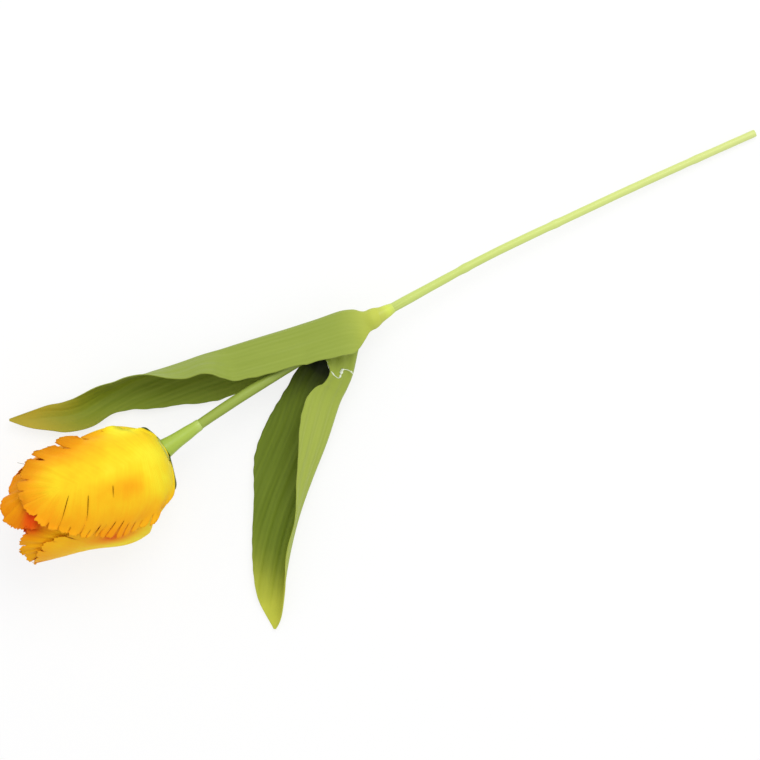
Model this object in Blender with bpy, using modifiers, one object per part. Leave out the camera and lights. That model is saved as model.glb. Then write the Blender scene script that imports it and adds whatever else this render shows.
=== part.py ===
"""Artificial fringed tulip, lying on a table as picked: one bloom, one stem, two leaves.

Units are metres and +Z is up. The pieces are laid out from the stem's cut end, with the bloom
towards -X, and the whole is then shifted so that the origin is the middle of its footprint, on
the table.
"""

import math

import bmesh
import bpy
import numpy as np
from mathutils import Vector

GAP = 0.0003  # clearance between pieces that touch
WELD = 0.00001  # points nearer than this are one

# Stem: it rises evenly from the cut end, which rests on the table, to the bloom.
STEM_ROUTE = [  # along X and Y, from the cut end to the bloom
    (0.000, 0.0000),
    (-0.060, 0.0026),
    (-0.110, 0.0040),
    (-0.155, 0.0049),
    (-0.195, 0.0038),
    (-0.235, 0.0020),
    (-0.275, -0.0004),
    (-0.315, -0.0041),
    (-0.355, -0.0096),
]
STEM_RISE = 0.0703  # height gained for each metre run
STEM_RADIUS_CUT_END = 0.0019
STEM_RADIUS_BLOOM_END = 0.0026
STEM_STEPS_PER_SPAN = 5
STEM_RESOLUTION = 3
BLOOM_TILT = (-0.03, 0.083)  # sideways and up, for each unit along -X
BLOOM_STANDOFF = 0.0012  # from the stem's end to the calyx, as the bloom stands a little askew
WIRE_RADIUS = 0.0006
WIRE_SETBACK = 0.0004  # the wire ends this far inside the stem's ends
CHANNEL_OVERRUN = 0.002

# Neck sleeve and leaf collar: tapered sleeves round the stem, as (distance from the end nearer
# the bloom, outer radius).
NECK_PROFILE = [(0.0, 0.0043), (0.0095, 0.0040), (0.0250, 0.0033), (0.0270, 0.0032)]
COLLAR_AT = -0.2185  # the X of its end nearer the cut end
COLLAR_PROFILE = [(0.0, 0.0052), (0.0060, 0.0046), (0.0102, 0.0033), (0.0120, 0.0029)]
COLLAR_MOUTH_WALL = 0.0007
COLLAR_MOUTH_DEPTH = 0.0090
SLEEVE_SIDES = 20

# Bloom: the outermost petal's midline, as radius and height from the bloom's base.
PETAL_FOOT = (0.0070, 0.0015)
PETAL_FOOT_HANDLE = (0.0180, 0.0035)
PETAL_BELLY_LOW_HANDLE = (0.0312, 0.0150)
PETAL_BELLY = (0.0312, 0.0360)
PETAL_BELLY_HIGH_HANDLE = (0.0312, 0.0540)
PETAL_TIP_HANDLE = (0.0285, 0.0740)
PETAL_TIP = (0.0195, 0.0960)
PETAL_BELLY_SHARE = 0.42  # share of the length between the foot and the belly
PETAL_THICKNESS = 0.0006
PETAL_ROWS = 13
PETAL_COLUMNS = 10
PETAL_FULL_WIDTH_UNTIL = 0.50  # share of the length where the petal starts to narrow
PETAL_TIP_FULLNESS = 2.3  # 2 is an elliptic tip, and more is blunter
PETAL_NARROWS_TO_NOTHING_AT = 1.005  # share of the length, just past the tip
PETALS = {  # name: (angle round the axis, half angle, place in the stack, share of the length)
    "petal_outer_top": (90, 62, 0, 0.90),
    "petal_outer_left": (214, 60, 1, 0.95),
    "petal_outer_right": (328, 60, 2, 0.92),
    "petal_inner_left": (152, 56, 3, 0.96),
    "petal_inner_right": (30, 56, 4, 0.94),
    "petal_inner_bottom": (270, 56, 5, 1.00),
}
PETAL_STEP = 0.0010  # from one petal's middle surface to the next one's
BLOOM_SAG = 0.0045  # how far the petals' middle part hangs to one side of the stem's line
BLOOM_SAG_HEIGHTS = (0.005, 0.022, 0.056)  # where it starts, is largest, and ends

# Receptacle: the plug that carries the petals' feet, the pistil and the stamens.
RECEPTACLE_SIDES = 24
CALYX_THICKNESS = 0.0007
CALYX_LOBE_ANGLES = (198, 270, 342)
CALYX_LOBE_HALF_ANGLE = 36
CALYX_HOLE_RADIUS = 0.0034
CALYX_VALLEY_RADIUS = 0.0070
CALYX_TIP_RADIUS = 0.0175
CALYX_LOBE_SHARPNESS = 1.6
CALYX_COLUMNS = 48
CALYX_ROWS = 6

PISTIL_PROFILE = [  # radius and height, from the stigma down
    (0.0022, 0.0258),
    (0.0032, 0.0246),
    (0.0026, 0.0234),
    (0.0014, 0.0218),
    (0.0020, 0.0117),
    (0.0016, 0.0),
]
PISTIL_HEIGHT = 0.026
PISTIL_SIDES = 12
STAMEN_COUNT = 6
STAMEN_FOOT_RADIUS = 0.0029
STAMEN_HEAD_RADIUS = 0.0085
STAMEN_HEIGHT = 0.027
STAMEN_FLARE = 1.6  # above 1, the stamens rise steeply and then spread
STAMEN_STEPS = 10
FILAMENT_RADIUS = 0.00045
ANTHER_RADIUS = 0.0013
ANTHER_SPAN = (0.62, 1.02)  # shares of the stamen's length

# Leaves: folded lengthwise, and lying on their lower half. Each station is the fold's X, Y and Z,
# the widths of the lower and the upper half, and in degrees how steeply each rises from level.
LEAF_THICKNESS = 0.0008
LEAF_ROWS = 36
LEAF_COLUMNS = 12
LEAF_FOLD_RADIUS = 0.0035
LEAF_LONG = [
    (-0.2314, 0.0078, 0.0184, 0.0052, 0.0056, -50, 55),
    (-0.2350, 0.0102, 0.0182, 0.0150, 0.0240, -36, 34),
    (-0.2500, 0.0142, 0.0172, 0.0215, 0.0245, -37, 36),
    (-0.2700, 0.0176, 0.0143, 0.0240, 0.0245, -32, 39),
    (-0.3000, 0.0229, 0.0075, 0.0250, 0.0250, 0, 49),
    (-0.3220, 0.0262, 0.0042, 0.0240, 0.0245, 6, 62),
    (-0.3470, 0.0285, 0.0027, 0.0175, 0.0200, 12, 80),
    (-0.3660, 0.0290, 0.0022, 0.0130, 0.0150, 18, 95),
    (-0.3860, 0.0285, 0.0024, 0.0100, 0.0095, 30, 140),
    (-0.4040, 0.0325, 0.0036, 0.0075, 0.0075, 25, 155),
    (-0.4250, 0.0412, 0.0066, 0.0006, 0.0006, 20, 160),
]
LEAF_SHORT = [
    (-0.2360, -0.0012, 0.0152, 0.0022, 0.0022, -10, 60),
    (-0.2430, -0.0082, 0.0162, 0.0110, 0.0080, -25, 70),
    (-0.2515, -0.0175, 0.0147, 0.0225, 0.0150, -20, 55),
    (-0.2640, -0.0295, 0.0108, 0.0295, 0.0200, -10, 47),
    (-0.2790, -0.0444, 0.0068, 0.0350, 0.0210, -3, 47),
    (-0.2950, -0.0590, 0.0043, 0.0330, 0.0190, 2, 60),
    (-0.3115, -0.0740, 0.0029, 0.0245, 0.0150, 6, 78),
    (-0.3240, -0.0880, 0.0021, 0.0195, 0.0120, 10, 84),
    (-0.3350, -0.1030, 0.0016, 0.0150, 0.0090, 12, 88),
    (-0.3420, -0.1135, 0.0014, 0.0095, 0.0060, 12, 95),
    (-0.3486, -0.1222, 0.0013, 0.0006, 0.0006, 10, 110),
]
LEAF_SECTION_STEPS = 24
LEAF_RUFFLE = 0.0018  # height of the waves along a leaf's edges
LEAF_WAVES = 4.0
LEAF_WAVE_LEAD = 1.5  # radians by which one edge's waves run ahead of the other's
LEAF_RUFFLE_FROM_FOOT = 0.15  # share of the length, where the waves start
LEAF_RUFFLE_GROWTH = 4.0
LEAF_RUFFLE_FADE = 5.0


def clear_scene():
    for obj in list(bpy.data.objects):
        bpy.data.objects.remove(obj, do_unlink=True)


def new_collection(name):
    collection = bpy.data.collections.new(name)
    bpy.context.scene.collection.children.link(collection)
    return collection


def material(name, colour, roughness, metallic=0.0):
    made = bpy.data.materials.new(name)
    made.use_nodes = True
    shader = made.node_tree.nodes["Principled BSDF"]
    shader.inputs["Base Color"].default_value = (*colour, 1.0)
    shader.inputs["Roughness"].default_value = roughness
    shader.inputs["Metallic"].default_value = metallic
    return made


def add_object(name, data, parent, finish):
    """A new object in the tulip's collection, with its parent and its material."""
    obj = bpy.data.objects.new(name, data)
    bpy.data.collections["fringed_tulip"].objects.link(obj)
    obj.parent = parent
    data.materials.append(finish)
    return obj


def add_empty(name, parent=None):
    empty = bpy.data.objects.new(name, None)
    bpy.data.collections["fringed_tulip"].objects.link(empty)
    empty.parent = parent
    return empty


def shade_smooth(mesh, sharp_degrees=40):
    mesh.shade_smooth()
    mesh.set_sharp_from_angle(angle=math.radians(sharp_degrees))


def smooth_run(stations, share):
    """A point at that share of a smooth run through the stations, by Catmull and Rom's rule."""
    last = len(stations) - 1
    place = min(share, 1.0) * last
    index = min(int(place), last - 1)
    t = place - index
    before, start, end, after = (
        np.array(stations[min(max(i, 0), last)], float) for i in range(index - 1, index + 3)
    )
    slope_in = (end - before) / 2
    slope_out = (after - start) / 2
    return (
        start * (2 * t**3 - 3 * t**2 + 1)
        + slope_in * (t**3 - 2 * t**2 + t)
        + end * (3 * t**2 - 2 * t**3)
        + slope_out * (t**3 - t**2)
    )


def grid_mesh(name, columns, rows, place):
    """An open sheet: a grid whose points go to place(across, along), across -1 to 1, along 0 to 1."""
    sheet = bmesh.new()
    bmesh.ops.create_grid(sheet, x_segments=columns, y_segments=rows, size=1.0)
    for vertex in sheet.verts:
        vertex.co = place(vertex.co.x, (vertex.co.y + 1) / 2)
    bmesh.ops.remove_doubles(sheet, verts=sheet.verts, dist=WELD)
    mesh = bpy.data.meshes.new(name)
    sheet.to_mesh(mesh)
    sheet.free()
    return mesh


def thicken(obj, thickness):
    shell = obj.modifiers.new("thickness", "SOLIDIFY")
    shell.thickness = thickness
    shell.offset = 0.0


def turned(name, profile, parent, finish, sides=SLEEVE_SIDES):
    """A solid turned about its own Z axis from a profile of (radius, height), down its outer side."""
    mesh = bpy.data.meshes.new(name)
    closed = profile[0][0] > 0
    count = len(profile)
    edges = [(i, i + 1) for i in range(count - 1)]
    if closed:
        edges.append((count - 1, 0))
    mesh.from_pydata([(radius, 0.0, height) for radius, height in profile], edges, [])
    obj = add_object(name, mesh, parent, finish)
    screw = obj.modifiers.new("turn", "SCREW")
    screw.steps = sides
    screw.render_steps = sides
    screw.use_merge_vertices = True
    screw.merge_threshold = 0.00005
    screw.use_smooth_shade = True
    return obj


def tube(name, points, radii, parent, finish, resolution=STEM_RESOLUTION):
    """A tube through the points, with its radius at each of them and closed ends."""
    curve = bpy.data.curves.new(name, "CURVE")
    curve.dimensions = "3D"
    curve.bevel_depth = 1.0
    curve.bevel_resolution = resolution
    curve.use_fill_caps = True
    spline = curve.splines.new("POLY")
    spline.points.add(len(points) - 1)
    for target, point, radius in zip(spline.points, points, radii):
        target.co = (*point, 1.0)
        target.radius = radius
    spline.use_smooth = True
    return add_object(name, curve, parent, finish)


def as_mesh(obj):
    """The curve as a closed mesh object in its place, under the same name."""
    graph = bpy.context.evaluated_depsgraph_get()
    mesh = bpy.data.meshes.new_from_object(obj.evaluated_get(graph))
    welded = bmesh.new()
    welded.from_mesh(mesh)
    bmesh.ops.remove_doubles(welded, verts=welded.verts, dist=WELD)
    welded.to_mesh(mesh)
    welded.free()
    name, parent, matrix = obj.name, obj.parent, obj.matrix_world.copy()
    bpy.data.objects.remove(obj, do_unlink=True)
    made = bpy.data.objects.new(name, mesh)
    bpy.data.collections["fringed_tulip"].objects.link(made)
    made.parent = parent
    made.matrix_world = matrix
    return made


def stem_point(share):
    x, y = smooth_run(STEM_ROUTE, share)
    return Vector((x, y, STEM_RADIUS_CUT_END - STEM_RISE * x))


def stem_share_at(x):
    """The share of the stem's run at which it comes to that X."""
    low, high = 0.0, 1.0
    for _ in range(24):
        middle = (low + high) / 2
        if stem_point(middle).x > x:
            low = middle
        else:
            high = middle
    return low


def stem_points():
    count = STEM_STEPS_PER_SPAN * (len(STEM_ROUTE) - 1)
    return [stem_point(i / count) for i in range(count + 1)]


def add_axis(name, point, direction, parent):
    """An empty at the point whose Z axis runs in the direction, and whose Y axis looks up."""
    axis = add_empty(name, parent)
    axis.location = point
    axis.rotation_euler = direction.to_track_quat("Z", "Y").to_euler()
    return axis


def add_stem(parent):
    points = stem_points()
    last = len(points) - 1
    growth = STEM_RADIUS_BLOOM_END - STEM_RADIUS_CUT_END
    radii = [STEM_RADIUS_CUT_END + growth * i / last for i in range(last + 1)]
    green = material("stem_plastic", (0.50, 0.62, 0.19), 0.45)
    stem = as_mesh(tube("stem", points, radii, parent, green))
    shade_smooth(stem.data)

    outward = [(points[0] - points[1]).normalized(), (points[-1] - points[-2]).normalized()]

    def lengthened(length):
        return [points[0] + outward[0] * length, *points[1:-1], points[-1] + outward[1] * length]

    channel_radii = [WIRE_RADIUS + GAP] * len(points)
    channel = as_mesh(tube("wire_channel", lengthened(CHANNEL_OVERRUN), channel_radii, parent, green, 1))
    channel.hide_render = True
    channel.display_type = "WIRE"
    bpy.data.collections["fringed_tulip"].objects.unlink(channel)
    bpy.data.collections["cutters"].objects.link(channel)
    cut = stem.modifiers.new("wire channel", "BOOLEAN")
    cut.operation = "DIFFERENCE"
    cut.object = channel

    steel = material("steel_wire", (0.42, 0.42, 0.43), 0.35, 1.0)
    wire_radii = [WIRE_RADIUS] * len(points)
    tube("core_wire", lengthened(-WIRE_SETBACK), wire_radii, parent, steel, 1)


def sleeve_axis(name, cut_end_x, bloom_end_x, parent):
    """An axis at the sleeve's end nearer the bloom, along the stem there."""
    start = stem_point(stem_share_at(cut_end_x))
    end = stem_point(stem_share_at(bloom_end_x))
    return add_axis(name, end, end - start, parent)


def add_neck_sleeve(parent):
    bore = STEM_RADIUS_BLOOM_END + GAP
    length = NECK_PROFILE[-1][0]
    end_x = STEM_ROUTE[-1][0]
    axis = sleeve_axis("neck_axis", end_x + length, end_x, parent)
    outside = [(radius, -distance) for distance, radius in NECK_PROFILE]
    profile = [(bore, 0.0), *outside, (bore, -length)]
    turned("neck_sleeve", profile, axis, material("neck_plastic", (0.43, 0.56, 0.11), 0.45))


def add_leaf_collar(parent):
    bore = STEM_RADIUS_BLOOM_END + GAP
    length = COLLAR_PROFILE[-1][0]
    axis = sleeve_axis("collar_axis", COLLAR_AT, COLLAR_AT - length, parent)
    outside = [(radius, -distance) for distance, radius in COLLAR_PROFILE]
    mouth = COLLAR_PROFILE[0][1] - COLLAR_MOUTH_WALL
    profile = [(mouth, 0.0), *outside, (bore, -length), (bore, -COLLAR_MOUTH_DEPTH)]
    turned("leaf_collar", profile, axis, material("collar_plastic", (0.56, 0.60, 0.10), 0.5))


def petal_midline(share):
    """A point of the outermost petal's midline, and the direction square to it, into the bloom."""
    low = (PETAL_FOOT, PETAL_FOOT_HANDLE, PETAL_BELLY_LOW_HANDLE, PETAL_BELLY)
    high = (PETAL_BELLY, PETAL_BELLY_HIGH_HANDLE, PETAL_TIP_HANDLE, PETAL_TIP)
    if share < PETAL_BELLY_SHARE:
        knots, t = low, share / PETAL_BELLY_SHARE
    else:
        knots, t = high, (share - PETAL_BELLY_SHARE) / (1 - PETAL_BELLY_SHARE)
    a, b, c, d = (np.array(knot) for knot in knots)
    point = a * (1 - t) ** 3 + 3 * b * t * (1 - t) ** 2 + 3 * c * t**2 * (1 - t) + d * t**3
    slope = (b - a) * (1 - t) ** 2 + 2 * (c - b) * t * (1 - t) + (d - c) * t**2
    slope /= np.hypot(*slope)
    return point, np.array([-slope[1], slope[0]])


def petal_half_angle(share, half_angle):
    """Half the petal's spread round the axis: even up to its belly, then rounded off to the tip."""
    if share <= PETAL_FULL_WIDTH_UNTIL:
        return half_angle
    beyond = (share - PETAL_FULL_WIDTH_UNTIL) / (PETAL_NARROWS_TO_NOTHING_AT - PETAL_FULL_WIDTH_UNTIL)
    return half_angle * (1 - beyond**PETAL_TIP_FULLNESS) ** (1 / PETAL_TIP_FULLNESS)


def sag(height):
    start, largest, end = BLOOM_SAG_HEIGHTS
    if height < largest:
        share = (height - start) / (largest - start)
    else:
        share = (end - height) / (end - largest)
    share = min(max(share, 0.0), 1.0)
    return BLOOM_SAG * share**2 * (3 - 2 * share)


def add_petals(bloom):
    outer_finish = material("petal_fabric_outer", (0.95, 0.62, 0.03), 0.75)
    inner_finish = material("petal_fabric_inner", (0.86, 0.34, 0.01), 0.75)
    for name, (angle, half_angle, level, length_share) in PETALS.items():

        def place(across, along):
            point, inward = petal_midline(along * length_share)
            radius, height = point + inward * level * PETAL_STEP
            turn = math.radians(angle + across * petal_half_angle(along, half_angle))
            return Vector((radius * math.cos(turn) + sag(height), radius * math.sin(turn), height))

        mesh = grid_mesh(name, PETAL_COLUMNS, PETAL_ROWS, place)
        shade_smooth(mesh)
        petal = add_object(name, mesh, bloom, outer_finish if "outer" in name else inner_finish)
        thicken(petal, PETAL_THICKNESS)


def receptacle_corner(distance):
    """A point of the cone just inside the petals' feet, that far up the stack of petals."""
    foot, inward = petal_midline(0.0)
    along = np.array([inward[1], -inward[0]])
    return foot + inward * distance - along * (GAP + PETAL_THICKNESS / 4)


def add_receptacle(bloom):
    """The receptacle, and the height of its flat top."""
    top = receptacle_corner(PETAL_STEP * (len(PETALS) - 1) + PETAL_THICKNESS)
    foot = receptacle_corner(-PETAL_THICKNESS)
    profile = [(0.0, top[1]), tuple(top), tuple(foot), (foot[0], 0.0), (0.0, 0.0)]
    finish = material("receptacle_plastic", (0.55, 0.60, 0.20), 0.5)
    turned("receptacle", profile, bloom, finish, RECEPTACLE_SIDES)
    return top[1]


def calyx_height(radius):
    """The calyx follows the outermost petal, from just under the receptacle."""
    share = 0.0
    while petal_midline(share)[0][0] < radius:
        share += 0.002
    return petal_midline(share)[0][1] - PETAL_FOOT[1] - CALYX_THICKNESS / 2 - GAP


def add_calyx(bloom):
    def place(across, along):
        angle = math.pi * across
        from_lobe = min(abs((math.degrees(angle) - lobe + 180) % 360 - 180) for lobe in CALYX_LOBE_ANGLES)
        lobe = max(0.0, 1.0 - from_lobe / CALYX_LOBE_HALF_ANGLE) ** CALYX_LOBE_SHARPNESS
        rim = CALYX_VALLEY_RADIUS + (CALYX_TIP_RADIUS - CALYX_VALLEY_RADIUS) * lobe
        radius = CALYX_HOLE_RADIUS + (rim - CALYX_HOLE_RADIUS) * along
        return Vector((radius * math.cos(angle), radius * math.sin(angle), calyx_height(radius)))

    mesh = grid_mesh("calyx", CALYX_COLUMNS, CALYX_ROWS, place)
    shade_smooth(mesh)
    calyx = add_object("calyx", mesh, bloom, material("calyx_plastic", (0.16, 0.24, 0.04), 0.5))
    thicken(calyx, CALYX_THICKNESS)


def add_pistil(bloom, foot):
    base = foot + GAP
    outside = [(radius, base + height) for radius, height in PISTIL_PROFILE]
    profile = [(0.0, base + PISTIL_HEIGHT), *outside, (0.0, base)]
    turned("pistil", profile, bloom, material("pistil_plastic", (0.62, 0.68, 0.20), 0.5), PISTIL_SIDES)


def add_stamens(bloom, foot):
    finish = material("stamen_plastic", (0.12, 0.08, 0.03), 0.7)
    points = []
    radii = []
    for step in range(STAMEN_STEPS + 1):
        share = step / STAMEN_STEPS
        spread = STAMEN_FOOT_RADIUS + (STAMEN_HEAD_RADIUS - STAMEN_FOOT_RADIUS) * share**STAMEN_FLARE
        points.append(Vector((spread, 0.0, foot + GAP + STAMEN_HEIGHT * share)))
        along_anther = (share - ANTHER_SPAN[0]) / (ANTHER_SPAN[1] - ANTHER_SPAN[0])
        swell = math.sin(math.pi * min(max(along_anther, 0.0), 1.0))
        radii.append(FILAMENT_RADIUS + (ANTHER_RADIUS - FILAMENT_RADIUS) * swell)
    for index in range(STAMEN_COUNT):
        stamen = tube(f"stamen_{index + 1}", points, radii, bloom, finish, 1)
        stamen.rotation_euler.z = 2 * math.pi * (index + 0.5) / STAMEN_COUNT


def leaf_section(distance, lower_rise, upper_rise):
    """Place of a point across the fold: distance from the midrib, below 0 on the lower half."""
    from_lower = -math.radians(lower_rise)
    from_upper = math.pi - math.radians(upper_rise)
    middle = (from_lower + from_upper) / 2
    half_turn = (from_upper - from_lower) / 2
    out, up, angle = 0.0, 0.0, middle
    step_length = distance / LEAF_SECTION_STEPS
    for step in range(LEAF_SECTION_STEPS):
        angle = middle + half_turn * math.tanh(step_length * (step + 0.5) / LEAF_FOLD_RADIUS)
        out += math.cos(angle) * step_length
        up += math.sin(angle) * step_length
    return out, up, angle


def leaf_ruffle(across, along):
    """How far the edge waves lift the leaf off its plain shape."""
    wave = math.sin(2 * math.pi * LEAF_WAVES * along + LEAF_WAVE_LEAD * across)
    start = min(max((along - LEAF_RUFFLE_FROM_FOOT) * LEAF_RUFFLE_GROWTH, 0.0), 1.0)
    end = min((1.0 - along) * LEAF_RUFFLE_FADE, 1.0)
    return LEAF_RUFFLE * across**4 * wave * start * end


def add_leaf(name, stations, fold_side, parent, finish):
    """fold_side is 1 where the fold lies to the right of the two halves, seen from the foot, else -1."""

    def place(across, along):
        x, y, z, lower_width, upper_width, lower_rise, upper_rise = smooth_run(stations, along)
        ahead = smooth_run(stations, min(along + 0.01, 1.0))[:3]
        behind = smooth_run(stations, max(along - 0.01, 0.0))[:3]
        run = Vector(ahead - behind).normalized()
        out = run.cross(Vector((0, 0, 1))).normalized() * fold_side
        up = (Vector((0, 0, 1)) - run * run.z).normalized()
        distance = across * (upper_width if across > 0 else lower_width)
        sideways, rise, angle = leaf_section(distance, lower_rise, upper_rise)
        ruffle = leaf_ruffle(across, along)
        sideways -= math.sin(angle) * ruffle
        rise += math.cos(angle) * ruffle
        return Vector((x, y, z)) + out * sideways + up * rise

    mesh = grid_mesh(name, LEAF_COLUMNS, LEAF_ROWS, place)
    shade_smooth(mesh, 60)
    leaf = add_object(name, mesh, parent, finish)
    thicken(leaf, LEAF_THICKNESS)


def rest_on_table(root):
    """Moves the root so that the origin is the middle of the footprint, at the lowest point."""
    bpy.context.view_layer.update()
    graph = bpy.context.evaluated_depsgraph_get()
    corners = []
    for obj in bpy.data.collections["fringed_tulip"].objects:
        if obj.type == "EMPTY":
            continue
        evaluated = obj.evaluated_get(graph)
        mesh = evaluated.to_mesh()
        corners += [evaluated.matrix_world @ vertex.co for vertex in mesh.vertices]
        evaluated.to_mesh_clear()
    low, high = np.min(corners, axis=0), np.max(corners, axis=0)
    root.location = (-(low[0] + high[0]) / 2, -(low[1] + high[1]) / 2, -low[2])


def main():
    clear_scene()
    new_collection("fringed_tulip")
    new_collection("cutters")
    root = add_empty("tulip")
    bloom_direction = Vector((-1.0, *BLOOM_TILT)).normalized()
    bloom_base = stem_point(1.0) + bloom_direction * (CALYX_THICKNESS + BLOOM_STANDOFF)
    bloom = add_axis("bloom_axis", bloom_base, bloom_direction, root)
    add_stem(root)
    add_neck_sleeve(root)
    add_leaf_collar(root)
    add_calyx(bloom)
    foot = add_receptacle(bloom)
    add_petals(bloom)
    add_pistil(bloom, foot)
    add_stamens(bloom, foot)
    leaf_finish = material("leaf_fabric", (0.21, 0.27, 0.03), 0.7)
    add_leaf("leaf_long", LEAF_LONG, 1, root, leaf_finish)
    add_leaf("leaf_short", LEAF_SHORT, -1, root, leaf_finish)
    rest_on_table(root)


main()
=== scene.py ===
import math
from functools import partial

import bmesh
import bpy
import numpy as np
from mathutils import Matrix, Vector
from mathutils.bvhtree import BVHTree


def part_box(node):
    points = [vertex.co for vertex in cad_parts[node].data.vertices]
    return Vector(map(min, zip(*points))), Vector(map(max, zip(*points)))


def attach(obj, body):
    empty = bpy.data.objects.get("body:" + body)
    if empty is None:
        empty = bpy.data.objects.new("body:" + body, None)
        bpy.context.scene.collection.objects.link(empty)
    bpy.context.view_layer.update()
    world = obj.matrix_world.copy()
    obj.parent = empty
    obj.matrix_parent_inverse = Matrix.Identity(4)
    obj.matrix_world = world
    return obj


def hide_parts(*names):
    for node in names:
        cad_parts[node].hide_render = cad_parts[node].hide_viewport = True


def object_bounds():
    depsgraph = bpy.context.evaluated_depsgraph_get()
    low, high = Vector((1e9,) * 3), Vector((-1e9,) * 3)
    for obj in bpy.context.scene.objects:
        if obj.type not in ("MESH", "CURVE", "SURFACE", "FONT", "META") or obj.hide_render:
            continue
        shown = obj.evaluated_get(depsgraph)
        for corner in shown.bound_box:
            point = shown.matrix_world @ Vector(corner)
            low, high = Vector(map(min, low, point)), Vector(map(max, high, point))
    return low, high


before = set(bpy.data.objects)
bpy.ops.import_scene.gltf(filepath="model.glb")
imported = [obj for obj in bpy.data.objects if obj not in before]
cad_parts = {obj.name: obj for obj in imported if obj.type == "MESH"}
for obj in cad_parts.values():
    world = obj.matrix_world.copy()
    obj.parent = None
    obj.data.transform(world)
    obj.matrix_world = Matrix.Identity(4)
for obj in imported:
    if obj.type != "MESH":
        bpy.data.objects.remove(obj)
cadLow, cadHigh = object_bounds()
print("frame loaded, with", len(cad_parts), "nodes")


# small tools

fullTurn = 2 * math.pi
waveTurn = 6.28  # near enough to a full turn, for the phases of waves
closed = 0.00001  # the radius that stands for none, where a tube or a profile closes


# an sRGB hex code as the linear colour that the shaders take
def linear(code):
    parts = [int(code[i : i + 2], 16) / 255 for i in (1, 3, 5)]
    return (*[p / 12.92 if p <= 0.04045 else ((p + 0.055) / 1.055) ** 2.4 for p in parts], 1.0)


# links to a node's inputs, from sockets or from the first outputs of nodes
def connect(node, links):
    for name, source in links.items():
        node.id_data.links.new(getattr(source, "outputs", [source])[0], node.inputs[name])


# one node with its settings, its fixed values, where a hex code is a colour, and its links;
# stops are a ramp's own
def addNode(tree, kind, values=None, links=None, stops=(), **settings):
    made = tree.nodes.new(f"ShaderNode{kind}")
    for name, value in settings.items():
        setattr(made, name, value)
    for name, value in (values or {}).items():
        made.inputs[name].default_value = linear(value) if isinstance(value, str) else value
    connect(made, links or {})
    for index, (place, code) in enumerate(stops):
        ramp = made.color_ramp.elements
        stop = ramp[index] if index < len(ramp) else ramp.new(place)
        stop.position = place
        stop.color = linear(code)
    return made


# empties the node tree of a material or a world, and returns what adds nodes to it
def startNodes(owner):
    owner.use_nodes = True
    owner.node_tree.nodes.clear()
    return partial(addNode, owner.node_tree)


# a Principled material with these fixed values, what adds nodes to it, and its shader
def startMaterial(name, finish, **more):
    made = bpy.data.materials.new(name)
    add = startNodes(made)
    shader = add("BsdfPrincipled", finish | more)
    add("OutputMaterial", links={"Surface": shader})
    return made, add, shader


def addObject(name, data):
    made = bpy.data.objects.new(name, data)
    bpy.context.scene.collection.objects.link(made)
    return made


# a smooth run through the stations, read at these shares of it
def smoothRun(stations, shares):
    points = np.asarray(stations, float)
    last = len(points) - 1
    place = np.clip(np.asarray(shares, float), 0, 1) * last
    index = np.minimum(place.astype(int), last - 1)
    t = (place - index)[:, None]
    before, start = points[np.maximum(index - 1, 0)], points[index]
    end, after = points[index + 1], points[np.minimum(index + 2, last)]
    return (
        start * (2 * t**3 - 3 * t**2 + 1)
        + (end - before) / 2 * (t**3 - 2 * t**2 + t)
        + end * (3 * t**2 - 2 * t**3)
        + (after - start) / 2 * (t**3 - t**2)
    )


# how far along a line of points each one is
def arcOf(points):
    return np.concatenate([[0], np.cumsum(np.linalg.norm(np.diff(points, axis=0), axis=1))])


def unit(vectors):
    return vectors / np.linalg.norm(vectors, axis=-1, keepdims=True)


def smoothStep(low, high, value):
    t = np.clip((value - low) / (high - low), 0, 1)
    return t * t * (3 - 2 * t)


# a soft dent or hump, one at its middle
def hump(offset, width):
    return np.exp(-((offset / width) ** 2))


# slow waves with no visible repeat, from -1 to 1
def drift(value, seed):
    dice = np.random.default_rng(seed)
    rates, phases = dice.uniform(0.6, 2.3, 4), dice.uniform(0, waveTurn, 4)
    return sum(np.sin(value * rate + phase) for rate, phase in zip(rates, phases)) / 4


# rings of points round a line, with a radius for each ring and turn
def ringsRound(centres, ways, radii, turns):
    across = unit(np.cross(ways, (0, 0, 1)))
    upward = np.cross(across, ways)
    rings = centres[:, None] + across[:, None] * (radii * np.cos(turns))[..., None]
    return (rings + upward[:, None] * (radii * np.sin(turns))[..., None]).reshape(-1, 3)


# quads between neighbouring rows of points, which are numbered along each row
def gridFaces(rows, columns, wrap=False, first=0):
    faces = []
    for row in range(rows - 1):
        for column in range(columns if wrap else columns - 1):
            after = (column + 1) % columns
            a, b = first + row * columns, first + (row + 1) * columns
            faces.append((a + column, a + after, b + after, b + column))
    return faces


# the faces of a tube of rings, closed at both ends
def tubeFaces(rings, sides):
    ends = [tuple(range(sides))[::-1], tuple(range((rings - 1) * sides, rings * sides))]
    return gridFaces(rings, sides, wrap=True) + ends


# a visible piece from its points and faces, on the body it rides on
def addPiece(name, points, faces, materials, replaced=(), fields=None, sheet=0.0):
    mesh = bpy.data.meshes.new(name)
    mesh.from_pydata(np.asarray(points).tolist(), [], faces)
    for field, values in (fields or {}).items():
        values = np.asarray(values, np.float32)
        kind, key = ("FLOAT_VECTOR", "vector") if values.ndim == 2 else ("FLOAT", "value")
        mesh.attributes.new(field, kind, "POINT").data.foreach_set(key, values.ravel())
    mesh.shade_smooth()
    for material in materials:
        mesh.materials.append(material)
    piece = addObject(name, mesh)
    if sheet:
        shell = piece.modifiers.new("sheet", "SOLIDIFY")
        shell.thickness = sheet
        shell.offset = 0
        shell.material_offset = 1 if len(materials) > 1 else 0
    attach(piece, "root")
    if replaced:
        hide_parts(*replaced)
    return piece


# materials


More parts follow.
